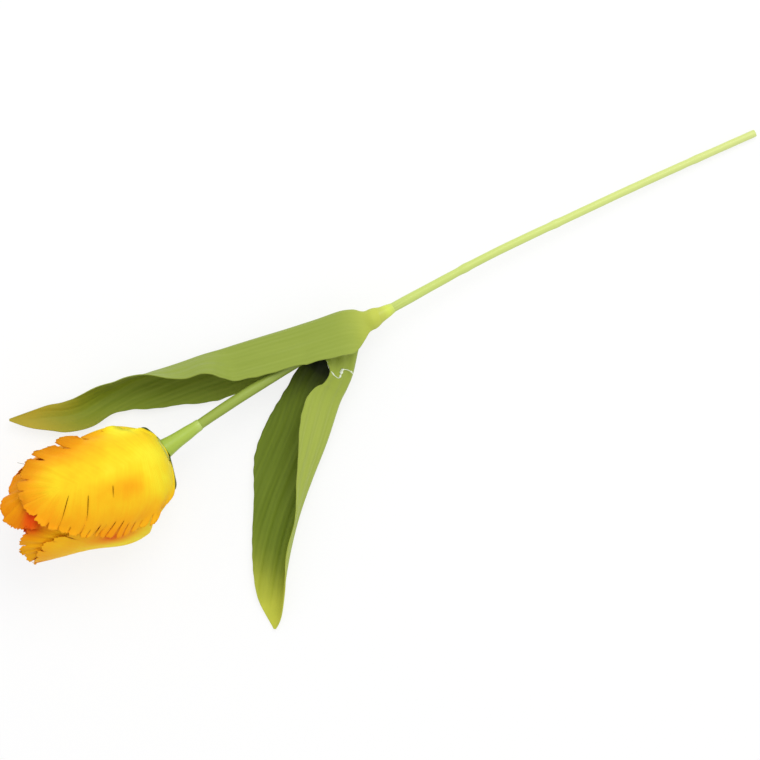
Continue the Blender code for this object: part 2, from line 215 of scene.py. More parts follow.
# noise drawn out along the grain, in streaks of this width and length
def addStreaks(add, grain, size, detail):
    stretched = add("Mapping", {"Scale": (1 / size[0], 1 / size[1], 1)}, {"Vector": grain})
    return add("TexNoise", {"Scale": 1, "Detail": detail}, {"Vector": stretched})


# a value that a noise makes uneven, by up to half this strength
def addUneven(add, value, noise, strength):
    centred = add("Math", {1: 0.5}, {0: noise}, operation="SUBTRACT")
    return add("Math", {1: strength}, {0: centred, 2: value}, operation="MULTIPLY_ADD")


# a weave with pressed veins: the veins' height, which the streaks make uneven, and the normal
def addWeave(add, grain, streaks, cloth):
    parts = add("SeparateXYZ", links={"Vector": grain})
    waves = []
    for axis, spacing in (("X", "threadSpacing"), ("Y", "threadSpacing"), ("X", "veinSpacing")):
        rate = fullTurn / cloth[spacing]
        turned = add("Math", {1: rate}, {0: parts.outputs[axis]}, operation="MULTIPLY")
        waves.append(add("Math", links={0: turned}, operation=cloth["wave"]))
    mixed = {0: waves[2], 2: streaks}
    height = add("Math", {1: cloth["veinShare"]}, mixed, operation="MULTIPLY_ADD")
    weave = add("Math", links={0: waves[0], 1: waves[1]}, operation="MULTIPLY")
    threads = add("Bump", cloth["threadBump"], {"Height": weave})
    return height, add("Bump", cloth["veinBump"], {"Height": height, "Normal": threads})


# Heat-pressed polyester satin: a matt, slightly glowing cloth, with colour sprayed on from the
# margins in soft streaks along the pressed veins. Its threads are 0.2 mm apart, and are drawn
# three times as coarse so that they show.
petalCloth = {
    "finish": {"IOR": 1.5, "Specular IOR Level": 0.12, "Sheen Weight": 0.03},
    "threadSpacing": 0.0006,
    "threadBump": {"Strength": 0.2, "Distance": 0.00005},
    "veinSpacing": 0.0019,
    "veinShare": 0.3,
    "veinBump": {"Strength": 0.22, "Distance": 0.00014},
    "wave": "SINE",
    "streak": (0.0020, 0.022),
    "streakStrength": 0.17,
    "mottle": {"Scale": 1 / 0.009, "Detail": 2},  # patches of about 9 mm
    "mottleStrength": 0.22,
    "glow": 0.08,  # how much light the cloth lets through
    "brown": "#C07A08",
}


def makePetalCloth(name, roughness, stops):
    made, add, shader = startMaterial(name, petalCloth["finish"], Roughness=roughness)
    grain = add("Attribute", attribute_name="grain").outputs["Vector"]
    place = add("TexCoord").outputs["Object"]
    streaks = addStreaks(add, grain, petalCloth["streak"], 3)
    mottle = add("TexNoise", petalCloth["mottle"], {"Vector": place})
    flush = add("Attribute", attribute_name="flush").outputs["Fac"]
    streaked = addUneven(add, flush, streaks, petalCloth["streakStrength"])
    total = addUneven(add, streaked, mottle, petalCloth["mottleStrength"])
    sprayed = add("ValToRGB", links={"Fac": total}, stops=stops)
    browned = add("Attribute", attribute_name="browned").outputs["Fac"]
    dyes = {0: browned, 6: sprayed}
    dyed = add("Mix", {7: petalCloth["brown"]}, dyes, data_type="RGBA").outputs[2]
    veins = addWeave(add, grain, streaks, petalCloth)[1]
    connect(shader, {"Base Color": dyed, "Normal": veins})
    glow = add("BsdfTranslucent", links={"Color": dyed, "Normal": veins})
    thin = add("MixShader", {"Fac": petalCloth["glow"]}, {1: shader, 2: glow})
    connect(made.node_tree.nodes["Material Output"], {"Surface": thin})
    return made


petalOuterCloth = makePetalCloth(
    "polyester_satin_heat_pressed_yellow",
    0.62,
    [
        # the first stop, olive, is painted shade, which the lowest flush values reach, such as the shaded
        # blot on the front petal's far side
        (0.0, "#DCD034"), (0.10, "#FFF034"), (0.24, "#FFDE22"), (0.45, "#FEC016"), (0.66, "#FCA60C"),
        (0.84, "#F68E06"), (1.0, "#EA6400"),
    ],
)
petalInnerCloth = makePetalCloth(
    "polyester_satin_heat_pressed_orange",
    0.66,
    [
        (0.0, "#FFD618"), (0.25, "#FDBA0A"), (0.5, "#F09A00"), (0.7, "#E88200"), (0.86, "#EC6400"),
        (1.0, "#EC4E00"),
    ],
)

# Polyester leaf cloth, pressed hot between ribbed plates with a thin wax: long veins stand out of
# a soft satin face, and the face turned to the stem is dyed darker. Its threads are drawn three
# times as coarse too.
leafCloth = {
    "finish": {"IOR": 1.5, "Specular IOR Level": 0.25, "Sheen Weight": 0.04},
    "threadSpacing": 0.0006,
    "threadBump": {"Strength": 0.3, "Distance": 0.00006},
    "veinSpacing": 0.0026,
    "veinShare": 0.09,
    "veinBump": {"Strength": 0.3, "Distance": 0.00025},
    "wave": "COSINE",
    "fibre": (0.0013, 0.035),
    "shadeFrom": {"From Min": 0.2, "From Max": 0.85},
    "mottle": {"Scale": 1 / 0.011, "Detail": 3},
    "mottleStrength": 0.35,
}


def makeLeafCloth(name, roughness, plain, veined, tip, foot):
    made, add, shader = startMaterial(name, leafCloth["finish"], Roughness=roughness)
    grain = add("Attribute", attribute_name="grain").outputs["Vector"]
    place = add("TexCoord").outputs["Object"]
    fibres = addStreaks(add, grain, leafCloth["fibre"], 4)
    mottle = add("TexNoise", leafCloth["mottle"], {"Vector": place})
    ribs, veins = addWeave(add, grain, fibres, leafCloth)
    shade = add("MapRange", leafCloth["shadeFrom"], {"Value": ribs})
    colour = add("Mix", {6: plain, 7: veined}, {0: shade}, data_type="RGBA").outputs[2]
    # the tip's colour and the foot's colour, each spread unevenly by the mottle; the short leaf's inner
    # foot colour is painted shade
    for field, code in (("foot", foot), ("tip", tip)):
        amount = add("Attribute", attribute_name=field).outputs["Fac"]
        spread = addUneven(add, amount, mottle, leafCloth["mottleStrength"])
        held = add("Math", links={0: spread, 1: amount}, operation="MULTIPLY", use_clamp=True)
        colour = add("Mix", {7: code}, {0: held, 6: colour}, data_type="RGBA").outputs[2]
    connect(shader, {"Base Color": colour, "Normal": veins})
    return made


leafCloths = {  # the outer and the inner face: roughness, then plain, veined, tip and foot colours
    "leaf_long": (
        makeLeafCloth("leaf_cloth_long_outer", 0.55, "#8A9B38", "#94A442", "#A29A34", "#BFC74E"),
        makeLeafCloth("leaf_cloth_long_inner", 0.6, "#72841C", "#808F28", "#AE9E2C", "#5A6A1A"),
    ),
    "leaf_short": (
        makeLeafCloth("leaf_cloth_short_outer", 0.55, "#9AAA40", "#A8B64E", "#BEC242", "#98A83E"),
        # the short leaf's inner foot colour, near black, is painted shade: the dark hollow under the long
        # leaf's flap
        makeLeafCloth("leaf_cloth_short_inner", 0.6, "#5F7210", "#70831C", "#BEC240", "#18210A"),
    ),
}

# Injection-moulded polyethylene: waxy and satin, with faint flow streaks along the stem and a
# fine orange peel from the mould.
mouldedPlastic = {
    "finish": {"IOR": 1.5, "Specular IOR Level": 0.4, "Coat Weight": 0.05},
    "streak": (0.0011, 0.03),
    "streakStrength": 0.18,
    "flowBump": {"Strength": 0.2, "Distance": 0.00008},
    "peel": {"Scale": 1 / 0.0007, "Detail": 2},
    "peelBump": {"Strength": 0.25, "Distance": 0.00008},
    "glossRange": (0.08, 0.1),  # how much glossier and duller the peel makes it
}


# Its colours run along the piece. A carried-over node has no grain, so its streaks follow its place.
def makeMoulded(name, roughness, stops, carried=False):
    made, add, shader = startMaterial(name, mouldedPlastic["finish"], Roughness=roughness)
    place = add("TexCoord").outputs["Object"]
    grain = place if carried else add("Attribute", attribute_name="grain").outputs["Vector"]
    streaks = addStreaks(add, grain, mouldedPlastic["streak"], 3)
    along = add("Attribute", attribute_name="along").outputs["Fac"]
    total = addUneven(add, along, streaks, mouldedPlastic["streakStrength"])
    dyed = add("ValToRGB", links={"Fac": total}, stops=stops)
    peel = add("TexNoise", mouldedPlastic["peel"], {"Vector": place})
    glossier, duller = mouldedPlastic["glossRange"]
    reach = {"To Min": roughness - glossier, "To Max": roughness + duller}
    rough = add("MapRange", reach, {"Value": peel})
    skin = add("Bump", mouldedPlastic["peelBump"], {"Height": peel})
    flow = add("Bump", mouldedPlastic["flowBump"], {"Height": streaks, "Normal": skin})
    connect(shader, {"Base Color": dyed, "Roughness": rough, "Normal": flow})
    return made


mouldings = {  # the colour's name, the roughness, and the colours from one end to the other
    "stem": (
        "pale_green",
        0.42,
        [(0.0, "#D0DB84"), (0.35, "#CCDA7A"), (0.58, "#C2D26C"), (0.72, "#8FA144"), (1.0, "#97AB3C")],
    ),
    "neck": ("mid_green", 0.42, [(0.0, "#B6CB66"), (0.2, "#A8C04A"), (1.0, "#A3BC40")]),
    "collar": (
        "yellow_green",
        0.48,
        [(0.0, "#C6D766"), (0.25, "#CEDC54"), (0.5, "#BFC950"), (0.8, "#B7BF4A"), (1.0, "#B0B848")],
    ),
    "calyx": ("dark_green", 0.5, [(0.0, "#6F8228"), (1.0, "#47571A")]),
    "receptacle": ("light_green", 0.5, [(0.0, "#B9C05C"), (0.25, "#A5AE46")]),
    "pistil": ("pistil", 0.5, [(0.0, "#B4BE5A"), (0.8, "#C9CC66"), (1.0, "#D8D27E")]),
    "stamen": ("anther", 0.7, [(0.0, "#8E8A3A"), (0.5, "#3A2A18"), (1.0, "#2A1C12")]),
}
plastics = {
    piece: makeMoulded(f"polyethylene_moulded_{colour}", roughness, stops, piece == "receptacle")
    for piece, (colour, roughness, stops) in mouldings.items()
}


# Drawn steel wire: grey, with fine scratches along the draw.
def makeWire():
    made, add, shader = startMaterial("steel_drawn_wire", {"Metallic": 1.0, "Roughness": 0.35})
    place = add("TexCoord").outputs["Object"]
    stretched = add("Mapping", {"Scale": (40, 5200, 5200)}, {"Vector": place})
    scratches = add("TexNoise", {"Scale": 1, "Detail": 3}, {"Vector": stretched})
    greys = [(0.3, "#8B8C8E"), (0.7, "#B5B6B8")]
    tone = add("ValToRGB", links={"Fac": scratches}, stops=greys)
    rough = add("MapRange", {"To Min": 0.28, "To Max": 0.5}, {"Value": scratches})
    connect(shader, {"Base Color": tone, "Roughness": rough})
    return made


# Hot-melt glue, drawn out into a thread: milky and a little glossy, and it lets light through.
def makeGlue():
    finish = {"Roughness": 0.35, "IOR": 1.48, "Transmission Weight": 0.15}
    made, add, shader = startMaterial("hot_melt_glue", finish)
    place = add("TexCoord").outputs["Object"]
    cloud = add("TexNoise", {"Scale": 900, "Detail": 2}, {"Vector": place})
    tone = add("ValToRGB", links={"Fac": cloud}, stops=[(0.3, "#DDE6C6"), (0.7, "#F4F8EA")])
    ripple = add("Bump", {"Strength": 0.3, "Distance": 0.0001}, {"Height": cloud})
    connect(shader, {"Base Color": tone, "Normal": ripple})
    return made


# A stray polyester thread: grey-brown, with two plies that turn round each other.
def makeThreadFibre():
    made, add, shader = startMaterial("polyester_thread_grey", {"Roughness": 0.7, "Sheen Weight": 0.2})
    grain = add("Attribute", attribute_name="grain").outputs["Vector"]
    turns = {"Scale": 700, "Distortion": 0.5}
    plies = add("TexWave", turns, {"Vector": grain}, bands_direction="DIAGONAL").outputs["Fac"]
    tone = add("ValToRGB", links={"Fac": plies}, stops=[(0.2, "#8E8A7A"), (0.8, "#B8B4A2")])
    twist = add("Bump", {"Strength": 0.6, "Distance": 0.00003}, {"Height": plies})
    connect(shader, {"Base Color": tone, "Normal": twist})
    return made


wireSteel, glueMelt, threadFibre = makeWire(), makeGlue(), makeThreadFibre()
print("materials made")


# the stem's line, which everything else is laid out from

stem = {
    "route": [  # across the table, from the cut end to the bloom
        (0.000, 0.0000), (-0.060, 0.0026), (-0.110, 0.0040), (-0.155, 0.0049), (-0.195, 0.0038),
        (-0.235, 0.0020), (-0.275, -0.0004), (-0.315, -0.0041), (-0.355, -0.0096),
    ],
    "rise": 0.0703,  # for each metre across
    "radii": (0.0019, 0.0026),
    "sides": 36,
    "ringSpacing": 0.0013,
    "joints": [(0.035, 0.00016), (0.118, 0.00020), (0.172, 0.00026), (0.262, 0.00012)],
    "jointWidth": 0.0022,
    "jointDip": (0.4, 0.005, 0.003),  # share of the joint's height, how far behind it, and how wide
    "swells": [(0.306, 0.00028, 0.030), (0.208, 0.00024, 0.012)],  # long thicker places
    "lumps": (0.00006, 190, 1.5),  # height, and how fast they change along and round
    "partingRidge": (0.00007, 0.12),  # height, and share of the radius that it is wide
    "cutFade": 0.0006,
    "bore": 0.0009,
    "boreDepth": 0.004,
    "grainWidth": 0.0022,
}

runShares = np.linspace(0, 1, 400)
runFlat = smoothRun(stem["route"], runShares)
runPoints = np.column_stack([runFlat, stem["radii"][0] - stem["rise"] * runFlat[:, 0]])
runArc = arcOf(runPoints)
stemLength = runArc[-1]
runRadii = stem["radii"][0] + (stem["radii"][1] - stem["radii"][0]) * runShares

# The layout is shifted as a whole, so that its stem fills the box of the frame's stem.
runWays = unit(np.gradient(runPoints, axis=0))
runReach = runRadii[:, None] * np.sqrt(1 - runWays**2)
runMiddle = ((runPoints - runReach).min(0) + (runPoints + runReach).max(0)) / 2
shift = sum(np.array(corner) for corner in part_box("stem")) / 2 - runMiddle
runPoints = runPoints + shift


# points and directions of the stem's centre line, at these distances from the cut end
def alongStem(distances):
    distances = np.asarray(distances, float)
    points = np.column_stack([np.interp(distances, runArc, runPoints[:, k]) for k in range(3)])
    ways = unit(np.column_stack([np.interp(distances, runArc, runWays[:, k]) for k in range(3)]))
    beyond = np.minimum(distances, 0) + np.maximum(distances - stemLength, 0)
    return points + ways * beyond[:, None], ways


def stemDistanceAt(x):
    return float(np.interp(-(x + shift[0]), -runPoints[:, 0], runArc))


# a round skin along the stem: rings at (distance, radius), where bulge adds to each radius
def sweepStem(profile, sides, bulge):
    distances, radii = np.array(profile, float).T
    angles = np.linspace(0, fullTurn, sides, endpoint=False)
    full = radii[:, None] + bulge(distances[:, None], angles[None, :])
    aside, along = angles * stem["grainWidth"] + 0 * full, distances[:, None] + 0 * full
    grain = np.stack([aside, along, 0 * full], axis=-1)
    return ringsRound(*alongStem(distances), full, angles), grain.reshape(-1, 3)


# stem

stemRings = np.arange(0.0004, stemLength, stem["ringSpacing"])
bore, cutRadius = stem["bore"], stem["radii"][0]
cutProfile = [(stem["boreDepth"], closed), (stem["boreDepth"], bore), (0.0001, bore), (0.0, bore + 0.0001)]
cutProfile += [(0.0, cutRadius - 0.0002), (0.00012, cutRadius - 0.00005)]
stemProfile = cutProfile + list(zip(stemRings, np.interp(stemRings, runArc, runRadii)))
stemProfile += [(stemLength, stem["radii"][1]), (stemLength, closed)]


def stemBulge(distance, angle):
    lump, along, turned = stem["lumps"]
    total = lump * drift(distance * along + np.cos(angle) * turned, 4)
    dip, behind, dipWidth = stem["jointDip"]
    for middle, height in stem["joints"]:
        total = total + height * hump(distance - middle, stem["jointWidth"])
        total = total - height * dip * hump(distance - middle - behind, dipWidth)
    for middle, height, width in stem["swells"]:
        total = total + height * hump(distance - middle, width)
    ridge, ridgeWidth = stem["partingRidge"]
    total = total + ridge * hump(np.sin(angle), ridgeWidth)
    total = total * smoothStep(0, stem["cutFade"], distance)
    total[: len(cutProfile)] = 0
    total[-1] = 0
    return total


stemPoints, stemGrain = sweepStem(stemProfile, stem["sides"], stemBulge)
stemFaces = tubeFaces(len(stemProfile), stem["sides"])
stemFields = {"grain": stemGrain, "along": stemGrain[:, 1] / stemLength}
addPiece("stem_skin", stemPoints, stemFaces, [plastics["stem"]], ["stem"], stemFields)
print("stem made")

# neck sleeve under the bloom, and the collar that the leaves leave from

neck = {
    "profile": [  # distance from the bloom end, and radius
        (-0.0013, 0.00530), (0.0, 0.00505), (0.0040, 0.00450), (0.0085, 0.00405), (0.0130, 0.00366),
        (0.0170, 0.00332), (0.0192, 0.00324), (0.0206, 0.00312), (0.0212, 0.00280),
    ],
    "bore": 0.00268,
    "lumps": (0.00010, 260, 1.7),
}
collar = {
    "narrowEndAt": -0.2150,
    "length": 0.0128,
    "profile": [  # distance from the mouth, and radius
        (0.0, 0.00500), (0.0040, 0.00430), (0.0070, 0.00380), (0.0095, 0.00335), (0.0114, 0.00285),
        (0.0128, 0.00252),
    ],
    "mouthWall": 0.0005,
    "innerEnd": 0.0024,
    "lumps": (0.00012, 260, 1.7),
}


def sleeve(name, settings, end, inner, material, replaced, sides=40, steps=26):
    outside = smoothRun(settings["profile"], np.linspace(0, 1, steps))[::-1]
    profile = [(end - distance, radius) for distance, radius in [*outside, *inner]]
    profile.append(profile[0])
    lump, along, turned = settings["lumps"]
    bulge = lambda distance, angle: lump * drift(distance * along + np.sin(angle) * turned, 9)
    points, grain = sweepStem(profile, sides, bulge)
    span = settings["profile"][-1][0]
    fields = {"grain": grain, "along": (grain[:, 1] - (end - span)) / span}
    addPiece(name, points, gridFaces(len(profile), sides, wrap=True), [material], replaced, fields)


neckInner = [(0.0, neck["bore"]), (neck["profile"][-1][0], neck["bore"])]
sleeve("neck_sleeve_skin", neck, stemLength, neckInner, plastics["neck"], ["neck_sleeve"])
collarEnd = stemDistanceAt(collar["narrowEndAt"]) + collar["length"]
mouth = collar["profile"][0][1] - collar["mouthWall"]
collarInner = [(0.0003, mouth), (0.0030, mouth - 0.0005), (0.0070, neck["bore"])]
collarInner.append((collar["length"], collar["innerEnd"]))
sleeve("leaf_collar_skin", collar, collarEnd, collarInner, plastics["collar"], ["leaf_collar"])
print("neck and collar made")


# bloom

goblet = {  # the outermost petal's midline as radius and height, and how the petals stack
    "tilt": (-0.03, 0.083),
    "stand": 0.0019,  # how far beyond the stem's end the bloom starts
    "foot": ((0.0050, -0.0030), (0.0047, -0.0010), (0.0050, 0.0016), (0.0070, 0.0010)),
    "low": ((0.0070, 0.0010), (0.0190, 0.0022), (0.0312, 0.0138), (0.0312, 0.0360)),
    "high": ((0.0312, 0.0360), (0.0312, 0.0540), (0.0285, 0.0740), (0.0195, 0.0960)),
    "petalStep": 0.0010,
    "footStep": 0.0003,  # the petals are pressed together where they leave the receptacle
    "footReach": (0.010, 0.034),
    "belly": 0.0032,  # how much fuller the short leaf's side is
    "bellyHeights": (-0.002, 0.008, 0.040, 0.070),
    "bulge": 0.0046,  # and how far its lower petals stand out
    "bulgeHeights": (0.0210, 0.0285, 0.0335, 0.060),
    "bulgeMiddle": -18,
    "bulgeWidth": 30,
    "heldDown": (270, 50, 0.9),  # towards the table, where lifted barbs are pressed back
    "leastRadius": 0.0045,
    "squeeze": (0.14, 0.06),  # how much the far side is pressed in, and how much more at its foot
    "squeezeFades": ((0.036, 0.064), (0.006, 0.020)),
    "twistFrom": 1.6,  # how late a petal turns to its twist
    "restAt": 0.0003,  # the cloth is flattened here, where it lies on the table
    "restSoftness": 0.0006,
}
bloomWay = Vector((-1.0, *goblet["tilt"])).normalized()
bloomTurn = np.array(bloomWay.to_track_quat("Z", "Y").to_matrix())
bloomBase = runPoints[-1] + np.array(bloomWay) * goblet["stand"]


def bezier(knots, t):
    a, b, c, d = (np.array(knot) for knot in knots)
    t = t[:, None]
    return a * (1 - t) ** 3 + 3 * b * t * (1 - t) ** 2 + 3 * c * t**2 * (1 - t) + d * t**3


# The midline by its arc length, carried on a little past the tip for the fringe
steps = np.linspace(0, 1, 150)
foot, low, high = (bezier(goblet[part], steps) for part in ("foot", "low", "high"))
midline = np.vstack([foot[:-1], low[:-1], high])
tipIndex = len(midline) - 1
midline = np.vstack([midline, midline[-1] + (midline[-1] - midline[-4]) / 3 * np.arange(1, 30)[:, None]])
midArc = arcOf(midline)
midSlope = unit(np.gradient(midline, midArc, axis=0))
fullLength = midArc[tipIndex]


def onMidline(y):
    radius, height = (np.interp(y, midArc, midline[:, k]) for k in (0, 1))
    slopeOut, slopeUp = (np.interp(y, midArc, midSlope[:, k]) for k in (0, 1))
    return radius, height, -slopeUp, slopeOut


# rises from nothing to one between the first two heights, and falls again between the last two
def swell(heights, height):
    return smoothStep(*heights[:2], height) * (1 - smoothStep(*heights[2:], height))


# world points from places round the bloom's own axis, flattened where they meet the table
def roundBloom(radius, height, turn):
    side = np.cos(turn)
    apart = np.mod(np.degrees(turn) - goblet["bulgeMiddle"] + 180, 360) - 180
    pushed = goblet["bulge"] * hump(apart, goblet["bulgeWidth"]) * swell(goblet["bulgeHeights"], height)
    pushed = pushed + goblet["belly"] * np.maximum(side, 0) * swell(goblet["bellyHeights"], height)
    for share, fade in zip(goblet["squeeze"], goblet["squeezeFades"]):
        pushed = pushed + share * radius * np.maximum(-side, 0) * (1 - smoothStep(*fade, height))
    world = np.stack([radius * side + pushed, radius * np.sin(turn), height], axis=-1)
    world = world @ bloomTurn.T + bloomBase
    rest, softness = cadLow.z + goblet["restAt"], goblet["restSoftness"]
    world[..., 2] = rest + softness * np.logaddexp(0, (world[..., 2] - rest) / softness)
    return world


# world points from flat petal places: across from the midrib, up from the foot, and lift outwards
def onBloom(across, up, lift, petal):
    radius, height, inRadius, inHeight = onMidline(up)
    turn = math.radians(petal["angle"]) + across / np.maximum(radius, goblet["leastRadius"])
    turn = turn + math.radians(petal["twist"]) * (up / fullLength) ** goblet["twistFrom"]
    beneath, width, pressed = goblet["heldDown"]
    pressed = pressed * hump(np.mod(np.degrees(turn), 360) - beneath, width)
    lift = np.where(lift > 0, lift * (1 - pressed), lift)
    step, least = goblet["petalStep"], goblet["footStep"]
    step = least + (step - least) * smoothStep(*goblet["footReach"], up)
    depth = petal["level"] * step - lift
    return roundBloom(radius + inRadius * depth, height + inHeight * depth, turn)


petalShape = {
    "rows": 168,
    "columns": 34,
    "sheet": 0.00035,
    "midribShare": 0.80,  # of the petal's length, before the last barbs fan out
    "barbStep": 0.0006,
    "barbSteps": 130,
    "lean": (84, 63),  # degrees between the midrib and the barbs, at the foot and higher up
    "fan": 12,  # how late the barbs turn towards the tip
    "bend": 0.42,
    "bendFrom": (0.016, 0.036),
    "toothSpacing": 0.0026,
    "toothDepth": 0.0011,
    "toothReach": 0.0035,
    "toothDrift": (0.4, 900),  # how uneven the teeth's spacing is, and how fast that changes
    "tipFullness": 2.3,
    "puff": 0.0008,
    "ruffle": 0.0010,
    "ruffleSpacing": 0.021,
    "tipFold": 0.0003,
    "tipFoldSpacing": 0.0075,
    "midribDent": (0.00025, 0.003),
    "tilt": 0.35,  # how much a strip tilts, for its curl
    "sway": 0.0008,
    "slitTone": 0.10,  # how much more orange the strips are beside the slits
    "slitCurl": 1.6,  # how much more the strips curl beside a deep slit
    "slitBelly": 2.2,  # how wide a slit opens between its ends
    "closedFrom": 0.88,  # where the barbs beside a slit with a closed end part
}

# angle: round the bloom, 90 is up. level: how many sheets lie outside it. start: up from the foot
# of the midline. Pairs have the short leaf's side first and then the long leaf's. half: degrees
# from the midrib to the margin. full: share of the length where it starts to close. twist: degrees
# that the tip lies ahead of the foot. flush: how far along the sprayed colours the middle is, and
# what the two margins and the tip add, over this spread. browned: how dark the margin is. blots:
# across, up, their sizes and how much colour they add. slits: place on the margin from foot (0) to
# tip (1), shares of the way from the midrib (0) to the margin (1) where it opens and closes again,
# and how wide it opens. Where there are none, they are drawn from slitStart and slitSpacing. lifts:
# how far the barbs above a slit stand out. tucked: whether the side lies under its neighbour.
petalOuter = {
    "start": 0.0024,
    "twist": 26,
    "spread": (0.25, 1.0),
    "browned": (0, 0),
    "blots": [],
    "slits": {},
    "slitStart": (0.55, 0.86),
    "slitSpacing": (0.055, 0.095),
    "lifts": {},
    "tucked": (0, 0),
    "fray": (0.02, 0.09),
}
petalInner = petalOuter | {
    "start": 0.0050,
    "half": (56, 56),
    "full": (0.62, 0.62),
    "slitStart": (0.80, 0.94),
    "slitSpacing": (0.09, 0.14),
    "lift": 0.0,
    "curl": 0.0010,
}
petals = {
    "petal_outer_top": petalOuter | {
        "angle": 90,
        "level": 0,
        "tipHeight": 0.0795,
        "start": 0.0022,
        "half": (70, 60),
        "full": (0.36, 0.60),
        "flush": (0.20, 0.34, 0.40, 0.08),
        "spread": (0.0, 0.85),
        "browned": (0.0, 0.42),
        "lift": 0.0008,
        "curl": 0.0012,
        "fray": (0.01, 0.05),
        "seed": 11,
        "slits": {
            -1: [
                (0.30, 0.86, 1.2, 0.0003), (0.385, 0.80, 1.2, 0.0003), (0.44, 0.84, 1.2, 0.0003),
                (0.49, 0.80, 1.2, 0.0003), (0.53, 0.78, 1.2, 0.0003), (0.565, 0.72, 1.2, 0.0004),
                (0.603, 0.72, 1.2, 0.0004), (0.631, 0.21, 0.36, 0.00024), (0.655, 0.76, 1.2, 0.0004),
                (0.685, 0.84, 1.2, 0.0003), (0.714, 0.27, 0.68, 0.00024), (0.76, 0.84, 1.2, 0.0004),
                (0.81, 0.23, 0.76, 0.00026), (0.86, 0.86, 1.2, 0.0005), (0.92, 0.84, 1.2, 0.0005),
            ],
            1: [
                (0.34, 0.92, 1.2, 0.0003), (0.44, 0.90, 1.2, 0.0004), (0.53, 0.80, 1.2, 0.0006),
                (0.62, 0.78, 1.2, 0.0008), (0.735, 0.78, 1.2, 0.0010), (0.86, 0.80, 1.2, 0.0007),
                (0.93, 0.84, 1.2, 0.0005),
            ],
        },
        "lifts": {0.44: 0.0012, 0.53: 0.0044, 0.62: 0.0036, 0.735: 0.0022},
        "blots": [
            (-0.0105, 0.0420, 0.006, 0.011, 0.30), (0.0, 0.020, 0.016, 0.016, -0.04),
            # the blot at 0.0290 across and 0.0300 up, with -0.66, is painted shade: it darkens the far
            # side near the foot to olive
            (-0.0170, 0.0270, 0.009, 0.012, -0.15), (0.0290, 0.0300, 0.011, 0.012, -0.66),
            (-0.0030, 0.0630, 0.008, 0.012, 0.10), (0.0110, 0.0770, 0.007, 0.010, -0.16),
            (-0.0330, 0.0600, 0.004, 0.008, 0.16),
        ],
    },
    "petal_outer_left": petalOuter | {
        "angle": 214,
        "level": 1,
        "tipHeight": 0.082,
        "half": (80, 60),
        "full": (0.50, 0.50),
        "flush": (0.12, 0.44, 0.36, 0.25),
        "lift": 0.0010,
        "curl": 0.0020,
        "tucked": (1, 0),
        "seed": 23,
    },
    "petal_outer_right": petalOuter | {
        "angle": 336,
        "level": 2,
        "tipHeight": 0.0890,
        "half": (60, 62),
        "full": (0.60, 0.84),
        "flush": (0.20, 0.16, 0.10, 0.26),
        "slitStart": (0.80, 0.93),
        "tucked": (0, 1),
        "lift": 0.0006,
        "curl": 0.0018,
        "seed": 37,
        # this blot is painted shade: a red-orange patch under the front petal's margin
        "blots": [(0.0225, 0.0605, 0.0055, 0.012, 0.68)],
    },
    "petal_inner_left": petalInner | {
        "angle": 152,
        "level": 3,
        "tipHeight": 0.0925,
        "twist": -42,
        "flush": (0.28, 0.10, 0.14, 0.16),
        "blots": [(-0.0125, 0.0910, 0.008, 0.012, 0.62)],
        "seed": 41,
    },
    "petal_inner_right": petalInner | {
        "angle": 30,
        "level": 4,
        "tipHeight": 0.0938,
        "half": (56, 58),
        "full": (0.80, 0.66),
        "twist": 12,
        "flush": (0.12, 0.10, 0.10, 0.16),
        "blots": [(0.0160, 0.0990, 0.006, 0.009, 0.50)],
        "seed": 59,
    },
    "petal_inner_bottom": petalInner | {
        "angle": 270,
        "level": 5,
        "tipHeight": 0.0880,
        "twist": 0,
        "flush": (0.66, 0.18, 0.18, 0.26),
        "seed": 61,
    },
}


def petalLength(petal):
    return float(np.interp(petal["tipHeight"], midline[:, 1], midArc))


# how far from the midrib the margin is, across, at that height up the petal
def halfWidth(up, side, petal):
    full, half = petal["full"][side > 0], math.radians(petal["half"][side > 0])
    beyond = np.clip((up / petalLength(petal) - full) / (1.004 - full), 0, 1)
    fullness = petalShape["tipFullness"]
    return onMidline(up)[0] * half * (1 - beyond**fullness) ** (1 / fullness)


# Barbs leave the midrib and bend towards the tip. Returns their flat paths, their angles from the
# midrib, the step along them, and how far along each the margin is.
def traceBarbs(shares, side, petal):
    step, start = petalShape["barbStep"], petal["start"]
    run = np.arange(petalShape["barbSteps"]) * step
    origin = start + shares * (petalLength(petal) * petalShape["midribShare"] - start)
    footLean, lean = petalShape["lean"]
    lean = footLean + (lean - footLean) * smoothStep(0, 0.5, shares)
    lean = np.radians(lean) * (1 - shares ** petalShape["fan"])
    angle = lean[:, None] * (1 - petalShape["bend"] * smoothStep(*petalShape["bendFrom"], run))[None, :]
    across = np.cumsum(np.sin(angle), axis=1) * step
    up = np.cumsum(np.cos(angle), axis=1) * step
    across, up = across - across[:, :1], up - up[:, :1] + origin[:, None]
    spare = halfWidth(up, side, petal) - across
    past = (spare <= 1e-7) & (run[None, :] > 0)
    first = np.where(past.any(1), past.argmax(1), len(run) - 1)
    rows = np.arange(len(shares))
    before, after = spare[rows, first - 1], spare[rows, first]
    reach = run[first - 1] + step * np.clip(before / np.maximum(before - after, 1e-9), 0, 1)
    return across, up, angle, run, reach


# where the rows of a petal's grid leave the midrib, so that they meet the margin evenly
def spreadRows(petal, rows):
    fine = np.linspace(0, 1, rows * 3 + 1)
    total = 0
    for side in (-1, 1):
        across, up, _, run, reach = traceBarbs(fine, side, petal)
        margin = [[np.interp(r, run, a), np.interp(r, run, u)] for r, a, u in zip(reach, across, up)]
        total = total + arcOf(np.array(margin)) / 2
    arc = np.linspace(0, total[-1], rows + 1)
    return np.interp(arc, total, fine), arc


